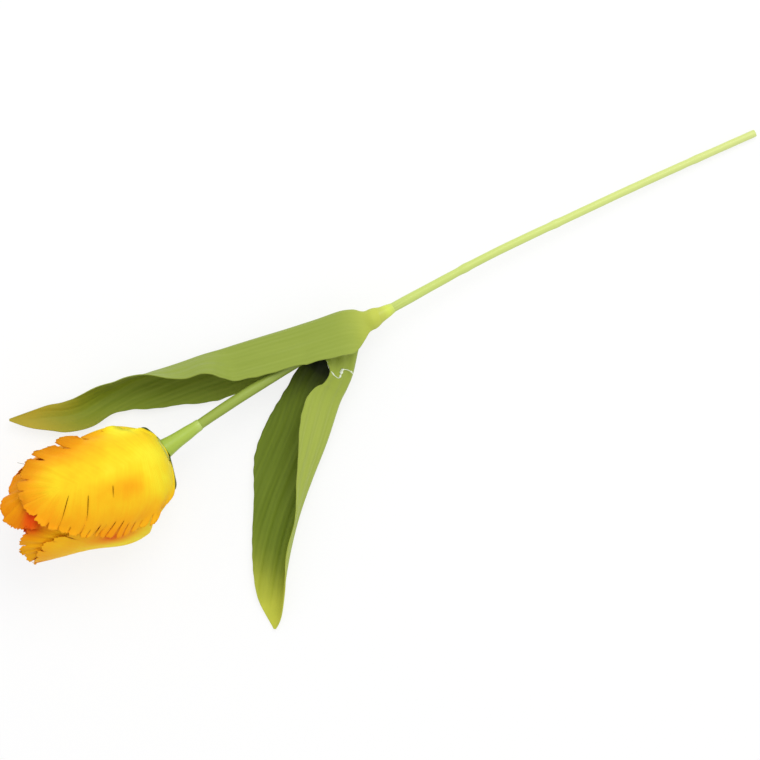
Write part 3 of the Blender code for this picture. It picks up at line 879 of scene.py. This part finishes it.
# slits for a petal that names none: deep ones with shallower ones between them
def drawnSlits(petal, dice):
    slits = {-1: [], 1: []}
    deepest, shallowest = petal["slitStart"]
    middle = (deepest + shallowest) / 2
    for side in slits:
        place, deep = dice.uniform(0.20, 0.26), True
        while place < 0.97:
            start = dice.uniform(deepest, middle) if deep else dice.uniform(middle, shallowest)
            slits[side].append((place, start, 1.3, dice.uniform(0.0002, 0.0006)))
            place += dice.uniform(*petal["slitSpacing"])
            deep = not deep
    return slits


def makePetal(name, petal, material):
    dice = np.random.default_rng(petal["seed"])
    rows, columns, length = petalShape["rows"], petalShape["columns"], petalLength(petal)
    shares, arcs = spreadRows(petal, rows)
    fractions = np.linspace(0, 1, columns + 1)
    slits = petal["slits"] or drawnSlits(petal, dice)
    base, *gains, tipGain = petal["flush"]
    (toothDrift, driftRate), (dentDepth, dentWidth) = petalShape["toothDrift"], petalShape["midribDent"]
    points, faces, grain, flush, browned = [], [], [], [], []
    for side in (-1, 1):
        across, up, angle, run, reaches = traceBarbs(shares, side, petal)
        cuts = sorted((round(place * rows), place, *cut) for place, *cut in slits[side])
        cuts = [(0, 0.0, 1.0, 2.0, 0.0), *cuts, (rows, 1.0, 1.0, 2.0, 0.0)]
        # where each slit's two sides begin to lift apart, which a closed one does near the margin
        parts = [cut[2] if cut[3] >= 1 else max(cut[3], petalShape["closedFrom"]) for cut in cuts]
        phase, toothPhase = dice.uniform(0, waveTurn), dice.uniform(0, 1)

        # one strip of barbs after another, each between two slits
        for lower, upper, lowPart, highPart in zip(cuts, cuts[1:], parts, parts[1:]):
            fray = dice.uniform(*petal["fray"])
            lift = petal["lift"] * dice.uniform(0.3, 1.3)
            lift = petal["lifts"].get(lower[1], lift) if side > 0 else lift
            curl = petal["curl"] * dice.uniform(-0.3, 1.0)
            tilt = petal["curl"] * petalShape["tilt"] * dice.uniform(0.5, 1.3)
            sway = dice.uniform(-petalShape["sway"], petalShape["sway"])
            depth = petalShape["slitCurl"] * (1 - min(lowPart, highPart))
            strip = np.arange(lower[0], upper[0] + 1)
            share, arc, reach = strip[:, None] / rows, arcs[strip, None], reaches[strip, None]
            g = 2 * (strip[:, None] - strip[0]) / max(len(strip) - 1, 1) - 1  # from slit (-1) to slit (1)
            start = lowPart + (highPart - lowPart) * (g + 1) / 2
            ramp = np.clip((fractions - start) / np.maximum(1 - start, 0.02), 0, 1) * (start < 0.999)

            # along the barbs, which end in teeth and are frayed beside the slits
            uneven = toothDrift * drift(arc * driftRate, petal["seed"] + side)
            tooth = (arc / petalShape["toothSpacing"] + toothPhase + uneven) % 1
            tooth = petalShape["toothDepth"] * (0.4 - 2 * abs(tooth - 0.5)) * smoothStep(0.12, 0.3, share)
            toothed = smoothStep(1 - petalShape["toothReach"] / np.maximum(reach, 0.004), 1, fractions)
            along = fractions * reach - (fray * abs(g) ** 2.4 + 0.02) * ramp**2 * reach
            along = np.maximum(along + tooth * toothed * fractions, 0)
            x, y, way = (
                np.array([np.interp(line, run, values[row]) for line, row in zip(along, strip)])
                for values in (across, up, angle)
            )

            # sideways, where the slits open and the strip sways
            start, close, width = np.where(g < 0, lower[2:], upper[2:]).T[..., None]
            opened = np.clip((fractions - start) / np.maximum(close - start, 0.02), 0, 1)
            opened = petalShape["slitBelly"] * opened**0.5 * (1 - opened)
            opened = width * (opened + smoothStep(0.75, 1.1, fractions) * (close < 1)) * abs(g) ** 4
            slide = sway * ramp**2 - opened * np.sign(g)
            x, y = x - np.cos(way) * slide, y + np.sin(way) * slide

            # outwards: waves at the margin, a dent along the midrib, folds near the tip, and the
            # strip's own lift and curl
            waves = np.sin(arc / petalShape["ruffleSpacing"] * waveTurn + phase)
            dent = dentDepth * hump(fractions * reach, dentWidth) * smoothStep(0.006, 0.02, y)
            folds = smoothStep(0.55, 0.85, y / length) * smoothStep(0.1, 0.5, fractions)
            folds = folds * np.sin(arc / petalShape["tipFoldSpacing"] * waveTurn + phase * 2)
            rise = petalShape["ruffle"] * fractions**3 * waves * smoothStep(0.1, 0.35, share)
            rise = rise - dent + petalShape["tipFold"] * folds + petalShape["puff"] * (1 - g * g) * ramp
            rise = rise + lift * ramp**2 + (curl * ramp**3 + tilt * g * ramp) * depth
            rise = rise * (1 - petal["tucked"][side > 0] * smoothStep(0.2, 0.6, fractions))

            # the sprayed colours, and the margin mixed towards brown
            tone = gains[side > 0] * smoothStep(*petal["spread"], fractions)
            tone = tone + tipGain * smoothStep(0.45, 1.0, y / length)
            tone = tone + petalShape["slitTone"] * abs(g) ** 5 * ramp
            tone = base + tone * smoothStep(0.05, 0.35, y / length)
            for blotX, blotY, sizeX, sizeY, amount in petal["blots"]:
                tone = tone + amount * hump(side * x - blotX, sizeX) * hump(y - blotY, sizeY)
            darkenedMargin = petal["browned"][side > 0] * smoothStep(0.70, 1.0, fractions)

            quads = gridFaces(len(strip), columns + 1, first=len(points))
            faces += quads if side > 0 else [face[::-1] for face in quads]
            points.extend(onBloom(side * x, y, rise, petal).reshape(-1, 3))
            grain.extend(np.stack([arc + 0 * x, side * along, x], axis=-1).reshape(-1, 3))
            flush.extend(tone.ravel())
            browned.extend((darkenedMargin * smoothStep(0.38, 0.60, y / length)).ravel())
    fields = {"grain": grain, "flush": np.clip(flush, 0, 1), "browned": browned}
    replaced = [name.replace("_cloth", "")]
    piece = addPiece(name, points, faces, [material], replaced, fields, petalShape["sheet"])
    weldSame(piece.data)
    return piece


# joins points that lie on each other, where neighbouring barbs share an uncut line, and drops
# points that no face uses
def weldSame(mesh):
    held = bmesh.new()
    held.from_mesh(mesh)
    bmesh.ops.remove_doubles(held, verts=held.verts, dist=0.000002)
    unused = [point for point in held.verts if not point.link_faces]
    bmesh.ops.delete(held, geom=unused, context="VERTS")
    held.to_mesh(mesh)
    held.free()
    mesh.shade_smooth()


petalPieces = {}
for name, petal in petals.items():
    outer = "outer" in name
    cloth = petalOuterCloth if outer else petalInnerCloth
    petalPieces[name] = makePetal(f"{name}_cloth", petal, cloth)
print("petals made")


# calyx under the petals

calyx = {
    "lobes": (206, 270, 334),
    "halfAngle": 34,
    "sharpness": 1.3,
    "start": 0.0046,  # up from the foot, along the petals' backs
    "valley": 0.0064,
    "tip": 0.0200,
    "seat": ((0.0036, -0.0015), (0.0045, -0.0013)),  # radius and height of the washer under the petals
    "clear": 0.0002,
    "sheet": 0.0005,
    "rim": 0.0024,  # how far the tips curl off the petals
    "ribs": (24, 0.0001),  # count and height
    "sides": 168,
    "rings": 22,
    "grainWidth": 0.005,
}


def makeCalyx():
    sides, rings = calyx["sides"], calyx["rings"]
    turns = np.linspace(0, fullTurn, sides, endpoint=False)
    offTo = lambda middle: np.abs((np.degrees(turns) - middle + 180) % 360 - 180)
    apart = np.min([offTo(lobe) for lobe in calyx["lobes"]], axis=0)
    peak = np.clip(1 - (apart / calyx["halfAngle"]) ** calyx["sharpness"], 0, 1)
    ends = calyx["valley"] + (calyx["tip"] - calyx["valley"]) * peak
    top = smoothStep(98, 76, offTo(90))[:, None]  # one where the front petal is
    washer = [roundBloom(np.full(sides, out), np.full(sides, high), turns) for out, high in calyx["seat"]]
    points, ups, along = [*washer], [out for out, high in calyx["seat"]], [0 * turns, 0 * turns]
    for share in np.linspace(0.05, 1, rings):
        up = calyx["start"] + np.maximum(ends - calyx["start"], 0.0002) * share
        radius, height, inRadius, inHeight = onMidline(up)
        away = calyx["clear"] + calyx["rim"] * share**6 * peak
        away = away + calyx["ribs"][1] * np.cos(turns * calyx["ribs"][0])
        hugging = roundBloom(radius - inRadius * away, height - inHeight * away, turns)
        points.append(hugging * (1 - top) + (washer[1] + (hugging - washer[1]) * 0.02) * top)
        ups.append(up)
        along.append(share * peak)
    grain = [np.column_stack([turns * calyx["grainWidth"], up + 0 * turns, 0 * turns]) for up in ups]
    # the cup is cut away where it would lie over the front petal, down to its washer
    bare = top[:, 0] > 0.98
    kept = lambda quad: quad[0] < sides or not all(bare[corner % sides] for corner in quad)
    quads = [quad for quad in gridFaces(len(points), sides, wrap=True) if kept(quad)]
    cup, fields = np.vstack(points), {"grain": np.vstack(grain), "along": np.concatenate(along)}
    green = [plastics["calyx"]]
    piece = addPiece("calyx_cup", cup, quads, green, ["calyx"], fields, calyx["sheet"])
    weldSame(piece.data)


makeCalyx()
print("calyx made")


# leaves

leafShape = {
    "rows": 250,
    "columns": 84,
    "sheet": 0.00045,
    "foldRadius": 0.0035,
    "foldDent": (0.0003, 0.0008),  # depth and width
    "edgeDrift": (0.012, 420),  # how much the width wanders, as a share of it, and how fast
    "ruffle": 0.0008,
    "waves": 4.0,  # along the whole leaf
    "waveLead": 1.5,  # keeps the waves of the two margins apart
    "rib": 0.00004,
    "ribSpacing": 0.0026,
    "ribDrift": (0.0007, 260, 0.0004, 45),  # how far the ribs wander, and how fast
    "fold": 0.00028,
    "foldSpacing": 0.0068,
    "buckle": 0.0005,
    "wrapAngle": 168,  # round the collar to each side
    "wrapClear": (-0.0004, 0.0008),  # off the collar where the leaf starts, and how much more further on
    "wrapSteps": (0.2215, 0.2262),
}

# stations: the fold's place and height, the widths of the lower and the upper half, and the degrees
# that each rises. folded: how deep the long folds are. tipFrom: where the tip's colour starts.
# footFades: where the foot's colour ends and starts; on the short leaf's inner face it is painted
# shade. wrapTo: where the foot stops going round the collar. startRun: which way it leaves.
leaves = {
    "leaf_long": {
        "foldSide": 1,
        "seed": 5,
        "folded": 0.35,
        "tipFrom": 0.70,
        "footFades": (0.17, 0.0),
        "wrapTo": (-0.2270, -0.2345),
        "startRun": (-1, 0.08, -0.02),
        "stations": [
            (-0.2215, 0.0050, 0.0174, 0.0080, 0.0090, 0, 0),
            (-0.2262, 0.0068, 0.0177, 0.0086, 0.0096, 0, 0),
            (-0.2305, 0.0086, 0.0181, 0.0104, 0.0130, -6, 6),
            (-0.2345, 0.0112, 0.0182, 0.0134, 0.0194, -16, 14),
            (-0.2390, 0.0130, 0.0182, 0.0172, 0.0258, -28, 25),
            (-0.2435, 0.0140, 0.0180, 0.0200, 0.0290, -34, 30),
            (-0.2540, 0.0153, 0.0171, 0.0222, 0.0279, -37, 34),
            (-0.2630, 0.0167, 0.0155, 0.0232, 0.0275, -35, 34),
            (-0.2700, 0.0178, 0.0143, 0.0240, 0.0264, -32, 35),
            (-0.2850, 0.0204, 0.0106, 0.0246, 0.0272, -16, 36),
            (-0.3000, 0.0229, 0.0075, 0.0252, 0.0266, 0, 37),
            (-0.3070, 0.0239, 0.0062, 0.0254, 0.0266, 3, 49),
            (-0.3125, 0.0247, 0.0054, 0.0256, 0.0266, 4, 61),
            (-0.3190, 0.0257, 0.0046, 0.0254, 0.0254, 5, 65),
            (-0.3280, 0.0268, 0.0039, 0.0238, 0.0236, 7, 64),
            (-0.3365, 0.0278, 0.0033, 0.0213, 0.0215, 9, 69),
            (-0.3470, 0.0289, 0.0027, 0.0192, 0.0200, 12, 83),
            (-0.3580, 0.0299, 0.0024, 0.0161, 0.0178, 15, 93),
            (-0.3663, 0.0297, 0.0022, 0.0127, 0.0158, 18, 101),
            (-0.3756, 0.0291, 0.0022, 0.0099, 0.0125, 24, 120),
            (-0.3870, 0.0279, 0.0024, 0.0105, 0.0097, 30, 140),
            (-0.3966, 0.0295, 0.0030, 0.0097, 0.0080, 28, 150),
            (-0.4050, 0.0331, 0.0037, 0.0080, 0.0065, 25, 155),
            (-0.4150, 0.0368, 0.0050, 0.0050, 0.0040, 22, 158),
            (-0.4250, 0.0412, 0.0066, 0.0006, 0.0006, 20, 160),
        ],
    },
    "leaf_short": {
        "foldSide": -1,
        "seed": 8,
        "folded": 1.0,
        "tipFrom": 0.66,
        # where the painted shade on the inner face's foot ends and starts
        "footFades": (0.33, 0.15),
        "stations": [
            (-0.2360, -0.0020, 0.0150, 0.0030, 0.0070, -10, 14),
            (-0.2422, -0.0093, 0.0158, 0.0190, 0.0206, -25, 14),
            (-0.2501, -0.0188, 0.0147, 0.0278, 0.0174, -20, 36),
            (-0.2565, -0.0244, 0.0129, 0.0298, 0.0186, -15, 39),
            (-0.2640, -0.0302, 0.0108, 0.0307, 0.0248, -10, 40),
            (-0.2788, -0.0450, 0.0068, 0.0345, 0.0242, -3, 45),
            (-0.2952, -0.0593, 0.0043, 0.0334, 0.0182, 2, 60),
            (-0.3115, -0.0740, 0.0029, 0.0245, 0.0150, 6, 78),
            (-0.3240, -0.0880, 0.0021, 0.0195, 0.0120, 10, 84),
            (-0.3350, -0.1030, 0.0016, 0.0150, 0.0090, 12, 88),
            (-0.3420, -0.1135, 0.0014, 0.0095, 0.0060, 12, 95),
            (-0.3486, -0.1222, 0.0013, 0.0006, 0.0006, 10, 110),
        ],
    },
}


# offsets sideways and up, and the direction, at these distances from the fold
def leafSection(distances, lowerRise, upperRise):
    fromLower, fromUpper = -math.radians(lowerRise), math.pi - math.radians(upperRise)
    middle, halfTurn = (fromLower + fromUpper) / 2, (fromUpper - fromLower) / 2
    fine = np.linspace(distances[0], distances[-1], 400)
    angle = middle + halfTurn * np.tanh(fine / leafShape["foldRadius"])
    section = []
    for part in (np.cos(angle), np.sin(angle)):
        offsets = np.concatenate([[0], np.cumsum((part[1:] + part[:-1]) / 2)]) * (fine[1] - fine[0])
        section.append(np.interp(distances, fine, offsets - np.interp(0, fine, offsets)))
    return *section, np.interp(distances, fine, angle)


# the leaf's foot, pressed round the collar like a tube with a slit, out of its narrow end
def wrapCollar(x, across, out, up):
    distance = stemDistanceAt(x)
    outside = smoothRun(collar["profile"], np.linspace(0, 1, 60))
    least, more = leafShape["wrapClear"]
    clear = least + more * smoothStep(*leafShape["wrapSteps"], -x)
    radius = np.interp(collarEnd - distance, outside[:, 0], outside[:, 1]) + clear
    turn = np.radians(across * leafShape["wrapAngle"])[:, None]
    return alongStem([distance])[0] + radius * (out * np.cos(turn) + up * np.sin(turn))


# how far one row of a leaf stands off its section: waves at the margins, ribs, folds and buckles
def leafRelief(leaf, share, at, across, distances):
    seed = leaf["seed"]
    wave = np.sin(fullTurn * leafShape["waves"] * share + leafShape["waveLead"] * across)
    ends = np.clip((share - 0.15) * 4, 0, 1) * np.clip((1 - share) * 5, 0, 1)
    full = smoothStep(0, 0.12, share) * smoothStep(1.0, 0.86, share)
    wander, wanderRate, sway, swayRate = leafShape["ribDrift"]
    wandered = distances + wander * drift(distances * wanderRate, seed + 4) + sway * np.sin(at * swayRate)
    ribs = leafShape["rib"] * np.cos(fullTurn * wandered / leafShape["ribSpacing"])
    folds = np.cos(fullTurn * wandered / leafShape["foldSpacing"])
    ribs = ribs + leafShape["fold"] * leaf["folded"] * folds
    buckles = drift(distances * 320 + 0.6 * np.sin(at * 60), seed + 2) * drift(at * 55, seed + 3)
    away = leafShape["ruffle"] * across**4 * wave * ends
    away = away + ribs * full * smoothStep(1.0, 0.85, np.abs(across))
    away = away + leafShape["buckle"] * buckles * full * smoothStep(0.05, 0.3, np.abs(across))
    dent, width = leafShape["foldDent"]
    return away - dent * hump(distances, width) * full


def makeLeaf(name, leaf):
    shares = np.linspace(0, 1, leafShape["rows"])
    stations = smoothRun(leaf["stations"], shares)
    ahead = smoothRun(leaf["stations"], np.minimum(shares + 0.01, 1))[:, :3]
    behind = smoothRun(leaf["stations"], np.maximum(shares - 0.01, 0))[:, :3]
    arc = arcOf(stations[:, :3])
    across = np.linspace(-1, 1, leafShape["columns"])
    points, grain, tips, feet = [], [], [], []
    for station, run, at in zip(stations, unit(ahead - behind), arc):
        share = at / arc[-1]
        if "startRun" in leaf:
            run = unit(run + (unit(np.array(leaf["startRun"])) - run) * smoothStep(0.16, 0.09, share))
        out = unit(np.cross(run, (0, 0, 1))) * leaf["foldSide"]
        up = unit(np.array((0, 0, 1)) - run * run[2])
        wander, rate = leafShape["edgeDrift"]
        drifts = [1 + wander * drift(at * rate, leaf["seed"] + half) for half in (0, 1)]
        lower, upper = station[3:5] * drifts
        distances = across * np.where(across > 0, upper, lower)
        sideways, rise, angle = leafSection(distances, station[5], station[6])
        away = leafRelief(leaf, share, at, across, distances)
        sideways, rise = sideways - np.sin(angle) * away, rise + np.cos(angle) * away
        placed = station[:3] + shift + out * sideways[:, None] + up * rise[:, None]
        if "wrapTo" in leaf:
            wrapped = smoothStep(*leaf["wrapTo"][::-1], station[0])
            placed = placed + (wrapCollar(station[0], across, out, up) - placed) * wrapped
        points.extend(placed)
        grain.extend(np.column_stack([distances, at + 0 * across, across]))
        tips.extend(smoothStep(leaf["tipFrom"], 1.0, share + 0.05 * np.abs(across)))
        feet.extend(smoothStep(*leaf["footFades"], share) + 0 * across)
    quads = gridFaces(leafShape["rows"], leafShape["columns"])
    quads = quads if leaf["foldSide"] < 0 else [face[::-1] for face in quads]
    fields = {"grain": grain, "tip": tips, "foot": feet}
    sheet = leafShape["sheet"]
    return addPiece(f"{name}_cloth", points, quads, leafCloths[name], [name], fields, sheet)


leafPieces = {name: makeLeaf(name, leaf) for name, leaf in leaves.items()}
print("leaves made")


# pistil and stamens in the cup


# a closed tube along points, where bulge is given shares along and round
def addTube(name, centres, radii, sides, material, replaced=(), bulge=None):
    turns = np.linspace(0, fullTurn, sides, endpoint=False)
    shares = np.linspace(0, 1, len(centres))[:, None]
    full = radii[:, None] * (1 + (0 * turns if bulge is None else bulge(shares, turns[None, :])))
    points = ringsRound(centres, unit(np.gradient(centres, axis=0)), full, turns)
    grain = np.stack([full * turns, shares * 0.03 + 0 * full, 0 * full], axis=-1).reshape(-1, 3)
    fields = {"grain": grain, "along": (shares + 0 * full).ravel()}
    addPiece(name, points, tubeFaces(len(centres), sides), [material], replaced, fields)


# world points from places on the bloom's straight axis
def onAxis(radii, turn, heights):
    flat = np.stack([radii * math.cos(turn), radii * math.sin(turn), heights], axis=-1)
    return flat @ bloomTurn.T + bloomBase


pistil = {
    "height": 0.026,
    "profile": [  # height and radius
        (0, closed), (0.001, 0.0016), (0.0117, 0.0020), (0.0205, 0.0016), (0.0222, 0.0018),
        (0.0240, 0.0030), (0.0250, 0.0029), (0.0257, 0.0016), (0.0260, closed),
    ],
    "headFrom": (0.80, 0.92),
    "lobes": 0.22,
    "ribs": 0.05,
    "sides": 30,
}
stamen = {
    "count": 6,
    "height": 0.027,
    "footRadius": 0.0029,
    "headRadius": 0.0085,
    "flare": 1.6,
    "filament": 0.00045,
    "anther": 0.00125,
    "antherFrom": 0.62,
    "groove": 0.28,
    "grooveWidth": 0.45,
    "sides": 16,
}

pistilMiddle = sum(np.array(corner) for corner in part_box("pistil")) / 2
cupFoot = float((pistilMiddle - bloomBase) @ np.array(bloomWay)) - pistil["height"] / 2
heights, radii = smoothRun(pistil["profile"], np.linspace(0, 1, 60)).T


# three lobes at the head, and three faint ribs below it
def pistilBulge(share, turn):
    head = smoothStep(*pistil["headFrom"], share)
    return pistil["lobes"] * head * np.cos(3 * turn) + pistil["ribs"] * (1 - head) * np.cos(3 * turn + 0.5)


centres, radii = onAxis(0 * heights, 0, cupFoot + heights), np.maximum(radii, closed)
green, sides = plastics["pistil"], pistil["sides"]
addTube("pistil_head", centres, radii, sides, green, ["pistil"], pistilBulge)


# two pollen sacs on each side of a groove
def antherBulge(share, turn):
    sac = smoothStep(stamen["antherFrom"] - 0.04, stamen["antherFrom"] + 0.06, share)
    apart = np.mod(turn + math.pi / 2, math.pi) - math.pi / 2
    return -stamen["groove"] * sac * hump(apart, stamen["grooveWidth"])


shares = np.linspace(0, 1, 44)
spread = stamen["footRadius"] + (stamen["headRadius"] - stamen["footRadius"]) * shares ** stamen["flare"]
anther = np.clip((shares - stamen["antherFrom"]) / (1 - stamen["antherFrom"]), 0, 1)
thick = stamen["filament"] + (stamen["anther"] - stamen["filament"]) * np.sin(math.pi * anther) ** 0.5
thick[[0, -1]] = closed
for number in range(1, stamen["count"] + 1):
    turn = fullTurn * (number - 0.5) / stamen["count"]
    centres = onAxis(spread, turn, cupFoot + stamen["height"] * shares)
    name, replaced = f"stamen_{number}_anther", [f"stamen_{number}"]
    addTube(name, centres, thick, stamen["sides"], plastics["stamen"], replaced, antherBulge)
print("pistil and stamens made")

# threads left over from gluing and cutting

glueThread = {
    "places": [
        (-0.2590, -0.0070), (-0.2599, -0.0104), (-0.2594, -0.0137), (-0.2589, -0.0158), (-0.2575, -0.0176),
        (-0.2556, -0.0162), (-0.2542, -0.0146), (-0.2522, -0.0153), (-0.2503, -0.0174), (-0.2500, -0.0190),
    ],
    "radius": 0.00020,
    "blobs": [  # share of the length, how much thicker, and how long
        (0.50, 0.0004, 0.03), (0.60, 0.0008, 0.04), (0.68, 0.0006, 0.03), (0.25, 0.0002, 0.04),
        (0.90, 0.0003, 0.03),
    ],
    "clear": 0.00025,
    "deepest": 0.0015,  # how far it may dip below its usual height
    "sides": 12,
}
looseThread = {
    "places": [
        (-0.4222, 0.0150, 0.0440), (-0.4244, 0.0154, 0.0445), (-0.4266, 0.0169, 0.0453),
        (-0.4282, 0.0183, 0.0450),
    ],
    "radius": 0.00012,
    "sides": 8,
}


def faceTree(piece):
    corners = [vertex.co.copy() for vertex in piece.data.vertices]
    return BVHTree.FromPolygons(corners, [face.vertices[:] for face in piece.data.polygons])


leafTrees = [faceTree(piece) for piece in leafPieces.values()]


# the highest leaf face under a place on the layout
def leafTopAt(x, y):
    above, down = Vector((x + shift[0], y + shift[1], 0.2)), Vector((0, 0, -1))
    hits = [tree.ray_cast(above, down)[0] for tree in leafTrees]
    return max((hit.z for hit in hits if hit is not None), default=0.02)


shares = np.linspace(0, 1, 120)
flat = smoothRun(glueThread["places"], shares)
high = np.array([leafTopAt(x, y) for x, y in flat])
high = np.maximum(high, np.median(high) - glueThread["deepest"])
high = np.convolve(np.pad(high, 4, mode="edge"), np.ones(9) / 9, mode="valid")
thick = np.full(len(shares), glueThread["radius"])
for middle, size, width in glueThread["blobs"]:
    thick = thick + size * hump(shares - middle, width)
thick[[0, -1]] = closed
centres = np.column_stack([flat + shift[:2], high + glueThread["clear"] + thick * 0.5])
addTube("glue_thread", centres, thick, glueThread["sides"], glueMelt)

# the stray thread hangs from the nearest spot on the front petal
loose = [np.array(place) + (shift[0], shift[1], 0) for place in looseThread["places"]]
held = faceTree(petalPieces["petal_outer_top"]).find_nearest(Vector(loose[0]))[0]
centres = smoothRun([held, *loose], shares[::3])
thick = np.full(len(centres), looseThread["radius"])
thick[[0, -1]] = closed
addTube("loose_thread", centres, thick, looseThread["sides"], threadFibre)
print("threads made")


# carried-over nodes

for name, material in (("core_wire", wireSteel), ("receptacle", plastics["receptacle"])):
    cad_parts[name].data.materials.clear()
    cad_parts[name].data.materials.append(material)
print("carried-over nodes painted")


# table, light and camera

table = {"half": 2.5, "below": 0.0004, "colour": "#FAFAFA", "whitened": 0.78}
light = {"sky": 0.80, "power": 8.8, "size": 0.9, "at": (0.55, 0.55, 1.3), "aim": (-0.05, 0.0, 0.02)}
camera = {"lens": 200, "height": 2.26, "over": (-0.0126, 0.0121), "turn": -26.6}


# one where any of these kinds of ray looks, and nothing where light falls
def whereSeen(add, *rays):
    path = add("LightPath")
    seen = path.outputs[rays[0]]
    for ray in rays[1:]:
        seen = add("Math", links={0: seen, 1: path.outputs[ray]}, operation="MAXIMUM")
    return seen


def makeTable():
    half, low = table["half"], cadLow.z - table["below"]
    mesh = bpy.data.meshes.new("table")
    corners = [(-half, -half, low), (half, -half, low), (half, half, low), (-half, half, low)]
    mesh.from_pydata(corners, [], [(0, 1, 2, 3)])
    addObject("table", mesh)
    # matt white paper, whitened where it is seen, so that only its shadows show
    made = bpy.data.materials.new("white_paper")
    add = startNodes(made)
    lit = add("BsdfDiffuse", {"Color": table["colour"]})
    bright = add("Emission", {"Color": (1, 1, 1, 1), "Strength": 1.0})
    shown = add("MixShader", {"Fac": table["whitened"]}, {1: lit, 2: bright})
    seen = whereSeen(add, "Is Camera Ray", "Is Glossy Ray", "Is Transmission Ray")
    mix = add("MixShader", links={"Fac": seen, 1: lit, 2: shown})
    add("OutputMaterial", links={"Surface": mix})
    mesh.materials.append(made)


# a soft sky that lights less brightly than it looks
def makeSky():
    world = bpy.data.worlds.new("studio")
    bpy.context.scene.world = world
    add = startNodes(world)
    seen = whereSeen(add, "Is Camera Ray", "Is Glossy Ray")
    soft = add("Background", {"Color": (1, 1, 1, 1), "Strength": light["sky"]})
    white = add("Background", {"Color": (1, 1, 1, 1), "Strength": 1.0})
    sky = add("MixShader", links={"Fac": seen, 1: soft, 2: white})
    add("OutputWorld", links={"Surface": sky})


def makeSoftbox():
    lamp = bpy.data.lights.new("key_softbox", "AREA")
    lamp.energy, lamp.size = light["power"], light["size"]
    key = addObject("key_softbox", lamp)
    key.location = light["at"]
    key.rotation_euler = (Vector(light["at"]) - Vector(light["aim"])).to_track_quat("Z", "Y").to_euler()


def makeCamera():
    lens = bpy.data.cameras.new("camera")
    lens.lens, lens.sensor_width, lens.clip_end = camera["lens"], 36, 20
    eye = addObject("camera", lens)
    eye.location = (*camera["over"], camera["height"])
    eye.rotation_euler = (0, 0, math.radians(camera["turn"]))
    bpy.context.scene.camera = eye


makeTable()
makeSky()
makeSoftbox()
makeCamera()
bpy.context.scene.view_settings.view_transform = "Standard"
print("table, light and camera made")
